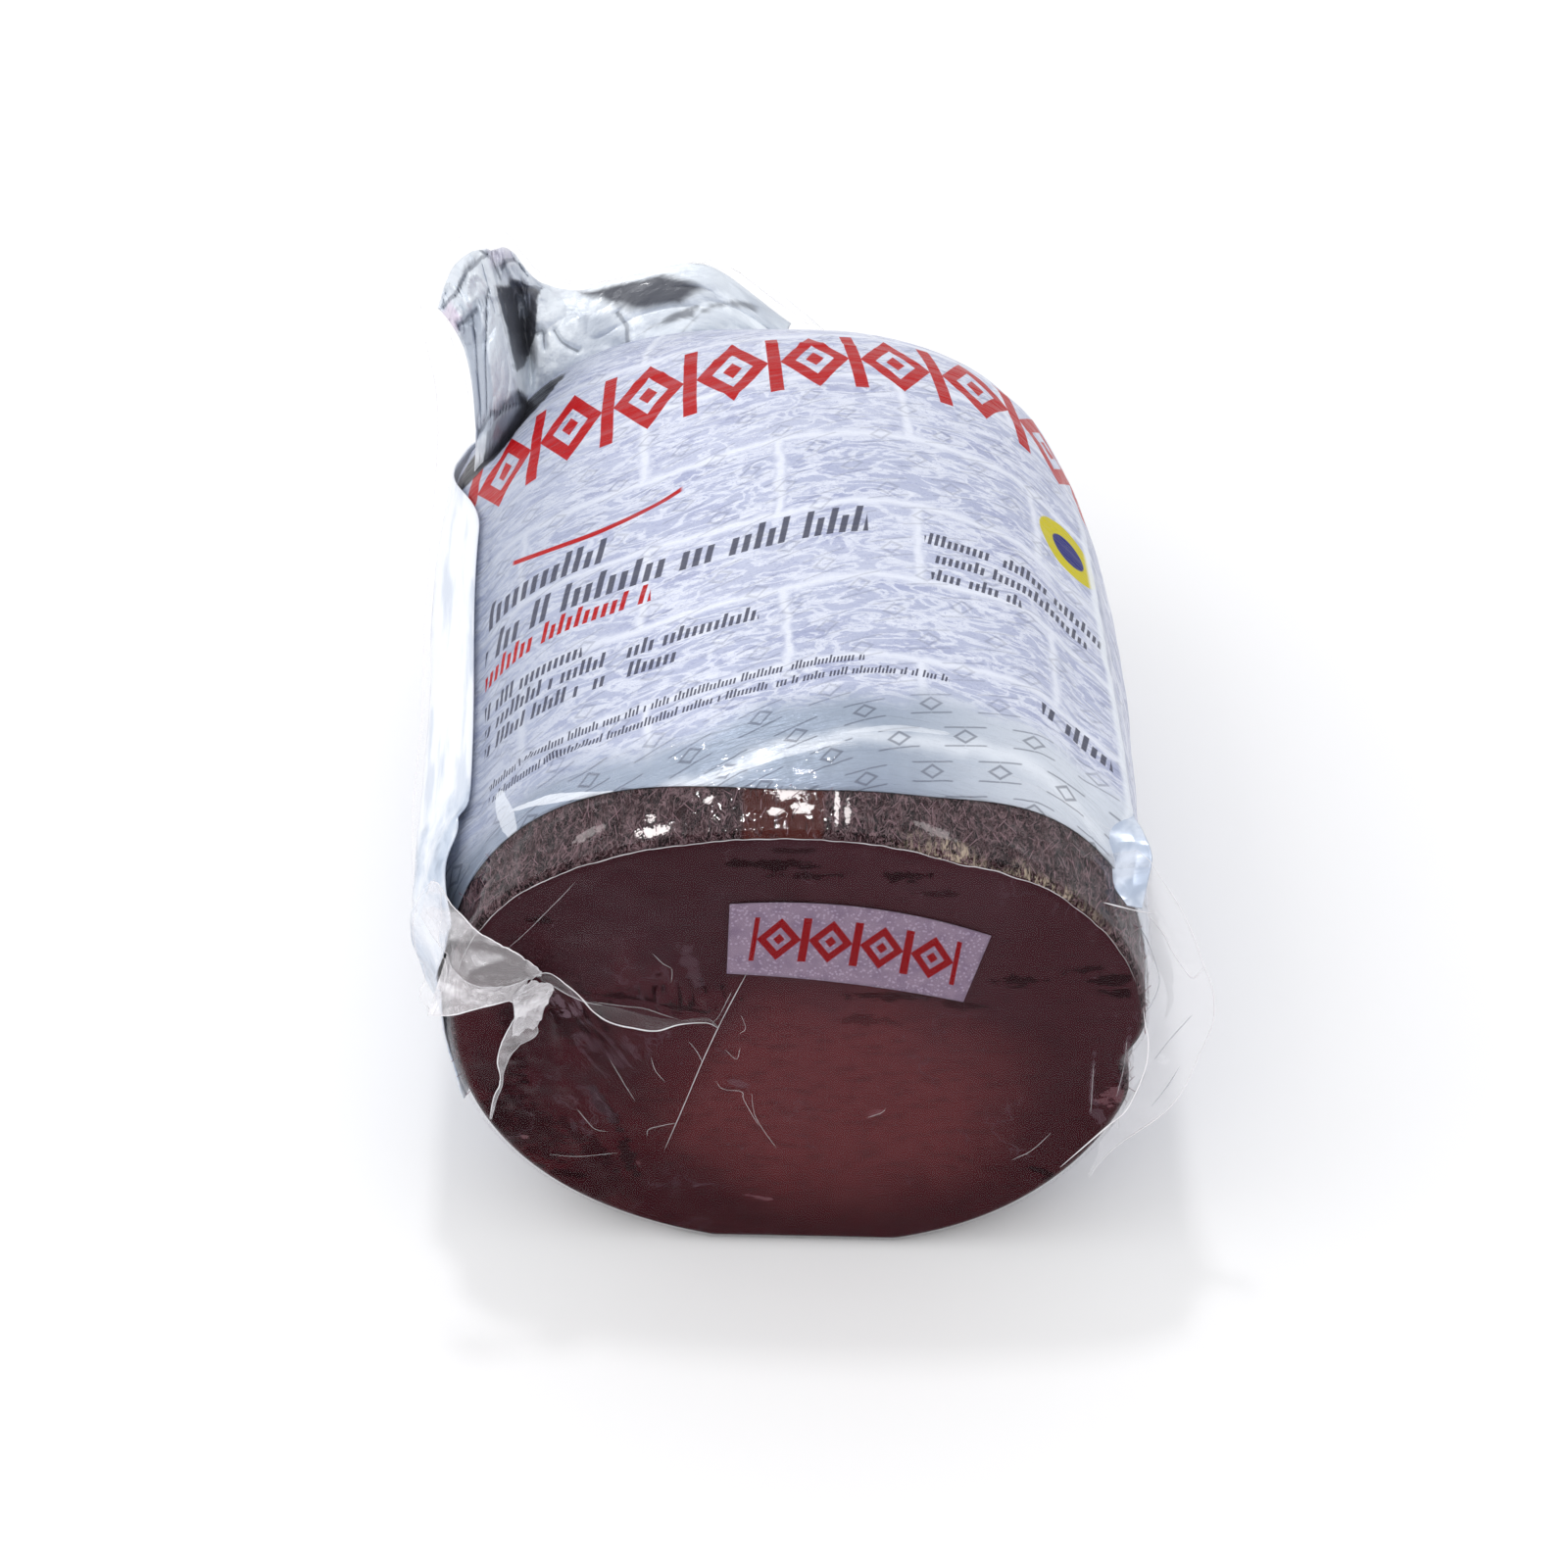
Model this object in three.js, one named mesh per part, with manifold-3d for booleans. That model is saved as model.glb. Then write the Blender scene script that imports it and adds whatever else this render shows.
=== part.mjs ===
import * as THREE from 'three';
import { mergeVertices } from 'three/addons/utils/BufferGeometryUtils.js';
import Module from 'manifold-3d';

// Half a bresaola lying on its side, cut face to the front, in millimetres.
// X runs across the cut face, Y from the face to the rounded end, Z up.
const LENGTH = 200;
const WIDTH = 142;
const HEIGHT = 104.5;
const FACE_LEAN = THREE.MathUtils.degToRad(11.6);

// How the section changes along the length, as shares of width and height
const WIDTH_BLUNTNESS = 4.7;
const HEIGHT_BLUNTNESS = 5;
const WIDTH_SWELL = 0.07;
const HEIGHT_SWELL = 0.03;
const END_LIFT = 0.3;
const BEND = [-0.4, -5.0, -6.8];
const REST_FLAT = 1.4;
const RIM_ROUND = 1.6;

// Superellipse powers of the four quarters of the section, from the upper right round
const QUARTER_POWERS = [2.4, 2.32, 2.02, 2.12];

// Slow lumps of the meat under its casing, in millimetres
const LUMPS = [
  { height: 0.6, around: 3, along: 5, phase: 0 },
  { height: 0.35, around: 5, along: -11, phase: 1 },
];

// Hollows in the rim of the cut face
const RIM_DENTS = [
  { angle: 65, spread: 11, depth: 2, reach: 0.2 },
  { angle: -3, spread: 6, depth: 2.6, reach: 0.12 },
];

// Printed wrap
const GAP = 0.35;
const WRAP_SKIN = 1.0;
const WRAP_SETBACK = 14.8;
const WRAP_WAVE = 3.0;
const WRAP_SKEW = 1.0;
const WRAP_WAVE_START = THREE.MathUtils.degToRad(42);
const RIDGE_RAMP = 0.1;
const FLAP = { angle: 165, rise: 17, fall: 30, height: 7, taper: 0.5, start: 0.02, end: 0.86 };
const PLEAT = { angle: 31, rise: 9, fall: 9, height: 4, taper: 1, start: 0.08, end: 0.62 };

// Crumpled tail of the wrap, at the back on the left
const TAIL_SKIN = 1.6;
const TAIL_WIDTH = 80;
const TAIL_HEIGHT = 30;
const TAIL_ROOT = [
  [-75, 150, 66],
  [-66, 163, 76],
  [-58, 180, 72],
  [-44, 188, 70],
  [-24, 190, 66],
  [-4, 192, 58],
];
const TAIL_TOP = [
  [-87, 184, 100],
  [-77, 194, 106],
  [-64, 200, 97],
  [-52, 205, 90],
  [-33, 211, 92],
  [-20, 210, 83],
  [-7, 206, 76],
];
const TAIL_FOLDS = [
  { place: 0.1, width: 0.07, height: -7 },
  { place: 0.24, width: 0.07, height: 9 },
  { place: 0.42, width: 0.1, height: -4 },
  { place: 0.66, width: 0.09, height: 4 },
  { place: 0.86, width: 0.08, height: -4 },
];

// Label on the cut face, measured up the leaning face
const LABEL = {
  top: 53,
  height: 17.5,
  topBow: 3.2,
  footBow: 1.2,
  leftSlant: 1.6,
  rightSlant: 2.9,
  skin: 0.8,
  tilt: THREE.MathUtils.degToRad(-7.3),
  x: 11.4,
  up: 77.2,
};

// Clear vacuum film where it stands free of the meat: two ears and the pouch seam
const FILM_SKIN = 1.2;
const SEAL_RISE = 0.17;
const SEAL_SIDE = 0.05;
const FILM_RIPPLE = { size: 0.7, waves: 9 };
const RIGHT_EAR = {
  foot: 14,
  height: 74,
  root: 62,
  lean: 6,
  reach: 20,
  crown: 1.15,
  front: 8,
  sweep: 26,
  sweepPower: 1.6,
  ripple: 1.6,
  waves: 5,
};
const RIGHT_EAR_ROOT = { share: 0.62, behind: 5, above: 20 };
const LEFT_EAR_OUTER = [
  [-83, 60, 61],
  [-80, 44, 78],
  [-79, 21, 89],
  [-80, 12, 83],
  [-76, 3, 76],
  [-66, 2, 71],
  [-54, 5, 70],
];
const LEFT_EAR_INNER = [
  [-71, 60, 58],
  [-71, 42, 74],
  [-71, 23, 83],
  [-66, 16, 80],
  [-60, 12, 77],
  [-56, 10, 75],
  [-52, 8, 73],
];
const SEAM_WIDTH = 2.4;
const SEAM_ROOT = 5;
const LEFT_SEAM = { angle: FLAP.angle, stations: [0.08, 0.24, 0.4, 0.55, 0.68] };
const RIGHT_SEAM = { angle: -24, stations: [0.95, 0.86, 0.72, 0.57, 0.4, 0.22, 0.015] };
const TAIL_LEFT = {
  outer: [[-85, 168, 83], [-89, 183, 98], [-89, 192, 107]],
  inner: [[-77, 166, 80], [-83, 184, 94], [-84, 190, 100]],
};
const TAIL_RIGHT = {
  outer: [[-10, 212, 84], [8, 211, 64]],
  inner: [[-12, 206, 76], [4, 196, 56]],
};

// Fineness of the surfaces: rows lie closer together towards the rounded end
const AROUND = 56;
const ALONG = 20;
const ROW_CROWDING = 2.4;
const TAIL_COLUMNS = 34;
const TAIL_ROWS = 5;
const EAR_COLUMNS = 16;
const EAR_ROWS = 4;
const SEAM_COLUMNS = 30;
const SEAM_ROWS = 2;

const wasm = await Module();
wasm.setup();

function vector([x, y, z]) {
  return new THREE.Vector3(x, y, z);
}

function curveThrough(list) {
  return new THREE.CatmullRomCurve3(list.map(vector), false, 'centripetal');
}

function smoothBump(distance, width) {
  return Math.exp(-((distance / width) ** 2));
}

function wrapDegrees(angle) {
  return ((((angle + 180) % 360) + 360) % 360) - 180;
}

// Distance of the section's outline from its centre, for half axes of 1
function outline(angle) {
  const quarter = Math.floor((angle / (2 * Math.PI)) * 4 + 4) % 4;
  const power = QUARTER_POWERS[quarter];
  const across = Math.abs(Math.cos(angle)) ** power;
  const up = Math.abs(Math.sin(angle)) ** power;
  return (across + up) ** (-1 / power);
}

// Lumps and dents together, as a distance outward from the smooth body
function unevenness(along, angle) {
  let relief = 0;
  for (const lump of LUMPS) {
    relief += lump.height * Math.sin(lump.around * angle + lump.along * along + lump.phase);
  }
  for (const dent of RIM_DENTS) {
    const away = wrapDegrees(THREE.MathUtils.radToDeg(angle) - dent.angle);
    relief -= dent.depth * smoothBump(away, dent.spread) * Math.exp(-along / dent.reach);
  }
  return relief;
}

// A point of the meat's side: along runs 0 to 1 from the cut face to the rounded end
function meatPoint(along, angle) {
  const narrow = Math.max(0, 1 - along ** WIDTH_BLUNTNESS) ** (1 / WIDTH_BLUNTNESS);
  const low = Math.max(0, 1 - along ** HEIGHT_BLUNTNESS) ** (1 / HEIGHT_BLUNTNESS);
  const halfWidth = (WIDTH / 2) * narrow * (1 + WIDTH_SWELL * along);
  const halfHeight = ((HEIGHT + REST_FLAT) / 2) * low * (1 + HEIGHT_SWELL * along);
  const radius = outline(angle) + (unevenness(along, angle) * 2) / HEIGHT;
  const middle = BEND[0] + BEND[1] * along + BEND[2] * along * along;
  const bottom = END_LIFT * HEIGHT * (1 - low) - REST_FLAT;
  const x = middle + halfWidth * radius * Math.cos(angle);
  const z = Math.max(0, bottom + halfHeight + halfHeight * radius * Math.sin(angle));
  const y = along * LENGTH + z * Math.tan(FACE_LEAN) * (1 - along);
  return new THREE.Vector3(x, y, z);
}

function meatNormal(along, angle) {
  const step = 1e-3;
  const round = meatPoint(along, angle + step).sub(meatPoint(along, angle - step));
  const back = meatPoint(along + step, angle).sub(meatPoint(Math.max(0, along - step), angle));
  return back.cross(round).normalize();
}

// Height of a ridge that runs along the wrap, such as the flap or the pleat
function ridge(shape, along, angle) {
  const away = wrapDegrees(THREE.MathUtils.radToDeg(angle) - shape.angle);
  const width = away < 0 ? shape.rise : shape.fall;
  const profile = Math.max(0, 1 - Math.abs(away) / width);
  const start = THREE.MathUtils.smoothstep(along, shape.start, shape.start + RIDGE_RAMP);
  const end = 1 - THREE.MathUtils.smoothstep(along, shape.end, shape.end + RIDGE_RAMP);
  return shape.height * Math.max(0, 1 - shape.taper * along) * profile * start * end;
}

function wrapHeight(along, angle) {
  return WRAP_SKIN + ridge(FLAP, along, angle) + ridge(PLEAT, along, angle);
}

function rowPlace(row) {
  return 1 - (1 - row / ALONG) ** ROW_CROWDING;
}

function ringAt(along, outward) {
  const ring = [];
  for (let i = 0; i < AROUND; i += 1) {
    const angle = (2 * Math.PI * i) / AROUND;
    const distance = outward(along, angle);
    ring.push(meatPoint(along, angle).addScaledVector(meatNormal(along, angle), distance));
  }
  return ring;
}

function indexedGeometry(points, faces) {
  const geometry = new THREE.BufferGeometry().setFromPoints(points);
  geometry.setIndex(faces);
  return geometry;
}

// A closed surface through rings of points, with one point at each end
function loftGeometry(rings, first, last) {
  const count = rings[0].length;
  const points = [first, ...rings.flat(), last];
  const end = points.length - 1;
  const at = (ring, i) => 1 + ring * count + (i % count);
  const faces = [];
  for (let i = 0; i < count; i += 1) {
    faces.push(0, at(0, i), at(0, i + 1));
    faces.push(end, at(rings.length - 1, i + 1), at(rings.length - 1, i));
    for (let ring = 0; ring < rings.length - 1; ring += 1) {
      faces.push(at(ring, i), at(ring + 1, i), at(ring + 1, i + 1));
      faces.push(at(ring, i), at(ring + 1, i + 1), at(ring, i + 1));
    }
  }
  return indexedGeometry(points, faces);
}

// The loft that follows the meat at a distance, from the cut face to the end
function skinGeometry(outward) {
  const rings = [];
  for (let row = 0; row < ALONG; row += 1) {
    rings.push(ringAt(rowPlace(row), outward));
  }
  const end = meatPoint(1, 0);
  end.y += outward(1, 0);
  return loftGeometry(rings, faceCentre(), end);
}

function faceCentre() {
  const z = HEIGHT / 2;
  return new THREE.Vector3(BEND[0], z * Math.tan(FACE_LEAN), z);
}

function sheetNormal(pointAt, u, v) {
  const step = 1e-3;
  const across = pointAt(u + step, v).sub(pointAt(u - step, v));
  const along = pointAt(u, v + step).sub(pointAt(u, v - step));
  return across.cross(along).normalize();
}

// A thin sheet given by a function of two numbers from 0 to 1, closed at its edges
function sheetGeometry(pointAt, columns, rows, thickness) {
  const stride = columns + 1;
  const layer = stride * (rows + 1);
  const points = [];
  for (const side of [0.5, -0.5]) {
    for (let row = 0; row <= rows; row += 1) {
      for (let column = 0; column <= columns; column += 1) {
        const u = column / columns;
        const v = row / rows;
        const normal = sheetNormal(pointAt, u, v);
        points.push(pointAt(u, v).addScaledVector(normal, side * thickness));
      }
    }
  }
  const faces = [];
  const quad = (a, b, c, d) => faces.push(a, b, c, a, c, d);
  for (let row = 0; row < rows; row += 1) {
    for (let column = 0; column < columns; column += 1) {
      const a = row * stride + column;
      const c = a + stride + 1;
      quad(a, a + 1, c, a + stride);
      quad(a + layer, a + stride + layer, c + layer, a + 1 + layer);
    }
  }
  for (let column = 0; column < columns; column += 1) {
    const far = rows * stride + column;
    quad(column + 1, column, column + layer, column + 1 + layer);
    quad(far, far + 1, far + 1 + layer, far + layer);
  }
  for (let row = 0; row < rows; row += 1) {
    const near = row * stride;
    const far = near + columns;
    quad(near, near + stride, near + stride + layer, near + layer);
    quad(far + stride, far, far + layer, far + stride + layer);
  }
  return indexedGeometry(points, faces);
}

// The solid of a closed geometry, turned inside out first where its faces point in
function solid(geometry) {
  const merged = mergeVertices(geometry, 1e-4);
  const vertProperties = new Float32Array(merged.attributes.position.array);
  const triVerts = new Uint32Array(merged.index.array);
  const body = new wasm.Manifold(new wasm.Mesh({ numProp: 3, vertProperties, triVerts }));
  if (body.volume() > 0) {
    return body;
  }
  triVerts.reverse();
  return new wasm.Manifold(new wasm.Mesh({ numProp: 3, vertProperties, triVerts }));
}

function geometryOf(body) {
  const mesh = body.getMesh();
  const geometry = new THREE.BufferGeometry();
  geometry.setAttribute('position', new THREE.BufferAttribute(mesh.vertProperties, 3));
  geometry.setIndex(new THREE.BufferAttribute(mesh.triVerts, 1));
  return geometry;
}

function namedMesh(name, geometry, look) {
  const mesh = new THREE.Mesh(geometry, new THREE.MeshStandardMaterial(look));
  mesh.name = name;
  return mesh;
}

// Meat with its casing: a leaning flat cut, a small round at the rim, a blunt end
function meatGeometry() {
  const face = ringAt(0, () => -RIM_ROUND).map((point) => {
    point.y = point.z * Math.tan(FACE_LEAN);
    return point;
  });
  const rings = [face];
  for (let row = 0; row < ALONG; row += 1) {
    const start = row === 0 ? RIM_ROUND / LENGTH : 0;
    rings.push(ringAt(rowPlace(row) + start, () => 0));
  }
  return loftGeometry(rings, faceCentre(), meatPoint(1, 0));
}

// Wavy distance of the wrap's cut edge behind the cut face
function wrapSetback(angle) {
  const turn = angle - WRAP_WAVE_START;
  return WRAP_SETBACK + WRAP_WAVE * Math.cos(4 * turn) + WRAP_SKEW * Math.cos(2 * turn);
}

// Everything in front of the wrap's cut edge
function frontCutter() {
  const ring = (radius, place) => {
    const points = [];
    for (let i = 0; i < AROUND; i += 1) {
      const angle = (2 * Math.PI * i) / AROUND;
      const z = HEIGHT / 2 + radius * Math.sin(angle);
      const y = place(angle) + z * Math.tan(FACE_LEAN);
      points.push(new THREE.Vector3(radius * Math.cos(angle), y, z));
    }
    return points;
  };
  const inside = 30;
  const outside = 160;
  const front = () => -80;
  const rings = [ring(outside, front), ring(outside, wrapSetback), ring(inside, wrapSetback)];
  const near = faceCentre().setY(front());
  const far = faceCentre();
  far.y += WRAP_SETBACK;
  return solid(loftGeometry(rings, near, far));
}

const tailRoot = curveThrough(TAIL_ROOT);
const tailTop = curveThrough(TAIL_TOP);

// The crumpled sheet of the tail: u from left to right, v from the root to its top edge
function tailPoint(u, v) {
  const low = tailRoot.getPoint(THREE.MathUtils.clamp(u, 0, 1));
  const high = tailTop.getPoint(THREE.MathUtils.clamp(u, 0, 1));
  const point = low.clone().lerp(high, v);
  let fold = 0;
  for (const shape of TAIL_FOLDS) {
    fold += shape.height * smoothBump(u - shape.place, shape.width);
  }
  point.y += fold * THREE.MathUtils.smoothstep(v, 0, 1);
  point.x += (u - THREE.MathUtils.clamp(u, 0, 1)) * TAIL_WIDTH;
  return point;
}

function tailSolid(spare) {
  const side = spare / TAIL_WIDTH;
  const top = spare / TAIL_HEIGHT;
  const shape = (u, v) => tailPoint(u * (1 + 2 * side) - side, v * (1 + top));
  return solid(sheetGeometry(shape, TAIL_COLUMNS, TAIL_ROWS, TAIL_SKIN + 2 * spare));
}

function wrapSolid() {
  const outer = solid(skinGeometry((along, angle) => GAP + wrapHeight(along, angle)));
  const inner = solid(skinGeometry(() => GAP));
  return outer.add(tailSolid(0)).subtract(inner).subtract(frontCutter());
}

// Label: a shallow bowed banner on the cut face, wider at its top edge
function labelMesh() {
  const shape = new THREE.Shape();
  const half = LABEL.height / 2;
  shape.moveTo(-LABEL.top / 2, half);
  shape.quadraticCurveTo(0, half + 2 * LABEL.topBow, LABEL.top / 2, half);
  shape.lineTo(LABEL.top / 2 - LABEL.rightSlant, -half);
  shape.quadraticCurveTo(0, -half + 2 * LABEL.footBow, LABEL.leftSlant - LABEL.top / 2, -half);
  const geometry = new THREE.ExtrudeGeometry(shape, {
    depth: LABEL.skin,
    bevelEnabled: false,
    curveSegments: 10,
  });
  const mesh = namedMesh('label', geometry, { color: 0xb9b3cf, roughness: 0.45 });
  mesh.position.set(LABEL.x, LABEL.up, GAP);
  mesh.rotation.z = LABEL.tilt;
  const face = new THREE.Group();
  face.rotation.x = Math.PI / 2 - FACE_LEAN;
  face.add(mesh);
  return face;
}

// Right ear: film that stands out from the rim of the cut face, from foot to top
function rightEarPoint(u, v) {
  const shape = RIGHT_EAR;
  const root = RIGHT_EAR_ROOT;
  const up = Math.max(0, u);
  const outer = new THREE.Vector3(
    shape.root + shape.lean * up + shape.reach * Math.sin(Math.PI * up ** shape.crown),
    shape.front + shape.sweep * up ** shape.sweepPower,
    shape.foot + shape.height * u,
  );
  const point = new THREE.Vector3(
    root.share * outer.x,
    outer.y + root.behind,
    root.share * outer.z + root.above,
  );
  point.lerp(outer, v);
  point.y += shape.ripple * v * Math.sin(shape.waves * Math.PI * u);
  return point;
}

// A strip between two curves, with a light ripple along it
function stripPoint(outer, inner) {
  return (u, v) => {
    const place = THREE.MathUtils.clamp(u, 0, 1);
    const point = inner.getPoint(place).lerp(outer.getPoint(place), v);
    point.z += FILM_RIPPLE.size * Math.sin(FILM_RIPPLE.waves * Math.PI * u);
    return point;
  };
}

// Points along a seam on the wrap, at a height above its outside
function seamPoints(seam, height) {
  const angle = THREE.MathUtils.degToRad(seam.angle);
  return seam.stations.map((along) => {
    const out = GAP + wrapHeight(along, angle) + height;
    return meatPoint(along, angle).addScaledVector(meatNormal(along, angle), out).toArray();
  });
}

function leftSeam(side, height) {
  return curveThrough([...seamPoints(LEFT_SEAM, height), ...TAIL_LEFT[side]]);
}

function rightSeam(side, height) {
  return curveThrough([...TAIL_RIGHT[side], ...seamPoints(RIGHT_SEAM, height)]);
}

function filmSolid() {
  const leftEar = stripPoint(curveThrough(LEFT_EAR_OUTER), curveThrough(LEFT_EAR_INNER));
  const left = stripPoint(leftSeam('outer', SEAM_WIDTH), leftSeam('inner', -SEAM_ROOT));
  const right = stripPoint(rightSeam('outer', SEAM_WIDTH), rightSeam('inner', -SEAM_ROOT));
  const tailSeal = (u, v) => {
    return tailPoint(u * (1 + 2 * SEAL_SIDE) - SEAL_SIDE, 1 + SEAL_RISE * v);
  };
  const pieces = [
    sheetGeometry(rightEarPoint, EAR_COLUMNS, EAR_ROWS, FILM_SKIN),
    sheetGeometry(leftEar, EAR_COLUMNS, EAR_ROWS, FILM_SKIN),
    sheetGeometry(left, SEAM_COLUMNS, SEAM_ROWS, FILM_SKIN),
    sheetGeometry(right, SEAM_COLUMNS, SEAM_ROWS, FILM_SKIN),
    sheetGeometry(tailSeal, TAIL_COLUMNS, 1, FILM_SKIN),
  ];
  const clear = (along, angle) => 2 * GAP + wrapHeight(along, angle);
  const kept = solid(skinGeometry(clear)).add(tailSolid(GAP));
  return pieces.map(solid).reduce((whole, piece) => whole.add(piece)).subtract(kept);
}

const model = new THREE.Group();
model.add(
  namedMesh('bresaola', meatGeometry(), { color: 0x4a1f24, roughness: 0.35 }),
  namedMesh('printed_wrap', geometryOf(wrapSolid()), { color: 0xd5d5e2, roughness: 0.3 }),
  namedMesh('vacuum_bag', geometryOf(filmSolid()), {
    color: 0xeef0f4,
    roughness: 0.08,
    transparent: true,
    opacity: 0.35,
  }),
  labelMesh(),
);

// Origin at the middle of the footprint, on the surface that it lies on
const box = new THREE.Box3().setFromObject(model, true);
const centre = box.getCenter(new THREE.Vector3());
model.position.set(-centre.x, -centre.y, -box.min.z);

export default model;
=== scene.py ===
"""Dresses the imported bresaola: cured beef in its casing, a printed wrap and clear vacuum film.

Lengths are in millimetres in the joint's own frame, with x across the cut face, y from the face
to the rounded end and z up, and become metres of the row frame when a mesh is made.
"""

import logging
import math
from dataclasses import dataclass, field
from enum import Enum
from functools import cache
from typing import Sequence

import bpy
import numpy as np
from mathutils import Matrix, Vector


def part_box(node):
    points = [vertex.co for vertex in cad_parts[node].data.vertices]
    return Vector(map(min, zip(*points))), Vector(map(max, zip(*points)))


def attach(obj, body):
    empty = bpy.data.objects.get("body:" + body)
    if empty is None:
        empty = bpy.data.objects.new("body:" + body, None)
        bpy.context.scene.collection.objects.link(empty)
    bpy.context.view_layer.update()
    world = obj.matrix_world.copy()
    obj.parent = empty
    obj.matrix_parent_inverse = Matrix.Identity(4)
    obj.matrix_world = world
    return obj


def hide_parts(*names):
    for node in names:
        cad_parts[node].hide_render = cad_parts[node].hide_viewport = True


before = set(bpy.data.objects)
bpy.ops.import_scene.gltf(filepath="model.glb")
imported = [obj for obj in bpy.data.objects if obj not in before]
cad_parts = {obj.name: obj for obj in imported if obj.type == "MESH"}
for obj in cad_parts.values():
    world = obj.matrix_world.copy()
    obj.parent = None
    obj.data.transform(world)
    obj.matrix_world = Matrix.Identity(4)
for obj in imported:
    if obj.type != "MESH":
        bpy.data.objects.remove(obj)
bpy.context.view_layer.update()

MM = 0.001
FLOOR_GAP = 0.05
LOG = logging.getLogger("bresaola")
Point = tuple[float, float, float]
Spot = tuple[float, float]
Colour = tuple[float, float, float]
Array = np.ndarray
Wire = bpy.types.NodeSocket
Piece = bpy.types.Object
Finish = bpy.types.Material


class Slot(Enum):
    """The record's material slots."""

    BEEF = "cured_beef"
    PRINT = "printed_film"
    CLEAR = "clear_film"
    LABEL = "label_film"


def paint(red: int, green: int, blue: int) -> Colour:
    """Turns a colour as a screen shows it into the linear one that a shader takes.

    Args:
        red, green, blue: the screen's values from 0 to 255.

    Returns:
        The linear colour.
    """
    shown = np.array([red, green, blue]) / 255
    return tuple(float(c) for c in np.where(shown < 0.04, shown / 12.92, ((shown + 0.055) / 1.055) ** 2.4))


def smoothstep(value: Array, low: float, high: float) -> Array:
    """Rises smoothly from 0 at low to 1 at high."""
    share = np.clip((value - low) / (high - low), 0, 1)
    return share * share * (3 - 2 * share)


def hill(distance: Array, width: float) -> Array:
    """A round bump, 1 high at its middle."""
    return np.exp(-((distance / width) ** 2))


def turned(degrees: Array) -> Array:
    """Brings angles into the range from -180 to 180 degrees."""
    return (degrees + 180) % 360 - 180


def smooth_curve(knots: Sequence[Point], places: Array) -> Array:
    """A smooth curve through points.

    Args:
        knots: the points that it passes.
        places: where to read it, from 0 to 1.

    Returns:
        One point for each place.
    """
    points = np.asarray(knots, float)
    last = len(points) - 1
    at = np.clip(np.asarray(places, float), 0, 1) * last
    index = np.minimum(at.astype(int), last - 1)
    t = (at - index)[..., None]
    padded = np.vstack([2 * points[0] - points[1], points, 2 * points[-1] - points[-2]])
    a, b, c, d = (padded[index + k] for k in range(4))
    cubic = 3 * b - a - 3 * c + d
    return 0.5 * (2 * b + (c - a) * t + (2 * a - 5 * b + 4 * c - d) * t**2 + cubic * t**3)


class Crumple:
    """Smooth random relief on a plane, the same for the same seed."""

    def __init__(self, seed: int, cells: int = 97) -> None:
        """Draws the heights of a lattice of cells by cells points."""
        self.table = np.random.default_rng(seed).uniform(-1, 1, (cells, cells))
        self.cells = cells

    def one(self, u: Array, v: Array) -> Array:
        """A single layer, with hills about one unit apart."""
        iu, iv = np.floor(u).astype(int), np.floor(v).astype(int)
        fu, fv = u - iu, v - iv
        fu, fv = fu * fu * (3 - 2 * fu), fv * fv * (3 - 2 * fv)
        near, far = iu % self.cells, (iu + 1) % self.cells
        low, high = iv % self.cells, (iv + 1) % self.cells
        bottom = self.table[near, low] * (1 - fu) + self.table[far, low] * fu
        top = self.table[near, high] * (1 - fu) + self.table[far, high] * fu
        return bottom * (1 - fv) + top * fv

    def layers(self, u: Array, v: Array, count: int = 3) -> Array:
        """Layers of ever finer and lower hills, added up."""
        total = np.zeros(np.broadcast(u, v).shape)
        for layer in range(count):
            scale = 2.03**layer
            total += self.one(u * scale + 11.3 * layer, v * scale + 5.7 * layer) / scale
        return total

    def folds(self, u: Array, v: Array, count: int = 3) -> Array:
        """Sharp crests, as in crumpled foil, from 0 to about 1."""
        total = np.zeros(np.broadcast(u, v).shape)
        for layer in range(count):
            scale = 1.9**layer
            crest = 1 - np.abs(self.one(u * scale + 7.1 * layer, v * scale + 3.3 * layer)) * 2
            total += np.clip(crest, 0, 1) ** 2 / scale
        return total


@dataclass(frozen=True)
class Ridge:
    """A ridge that runs along the wrap. Angles are in degrees, places are shares of the length."""

    angle: float
    rise: float
    fall: float
    height: float
    taper: float
    start: float
    end: float
    ramp: float = 0.1

    def lift(self, along: Array, angle: Array) -> Array:
        """Height of the ridge above the smooth wrap.

        Args:
            along: place along the joint, from 0 to 1.
            angle: angle round the section, in radians.

        Returns:
            The height in millimetres.
        """
        away = turned(np.degrees(angle) - self.angle)
        profile = np.maximum(0, 1 - np.abs(away) / np.where(away < 0, self.rise, self.fall))
        start = smoothstep(along, self.start, self.start + self.ramp)
        end = 1 - smoothstep(along, self.end, self.end + self.ramp)
        return self.height * np.maximum(0, 1 - self.taper * along) * profile * start * end


def unit(vectors: Array) -> Array:
    """Vectors of length 1 in the same directions."""
    return vectors / np.maximum(np.linalg.norm(vectors, axis=-1, keepdims=True), 1e-9)


def grid_normals(grid: Array) -> Array:
    """The normal at each point of a grid."""
    return unit(np.cross(np.gradient(grid, axis=1), np.gradient(grid, axis=0)))


def cell_corners(grid: Array) -> Array:
    """The four corners of each cell of a grid, along a third axis."""
    return np.stack([grid[:-1, :-1], grid[:-1, 1:], grid[1:, 1:], grid[1:, :-1]], 2)


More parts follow.
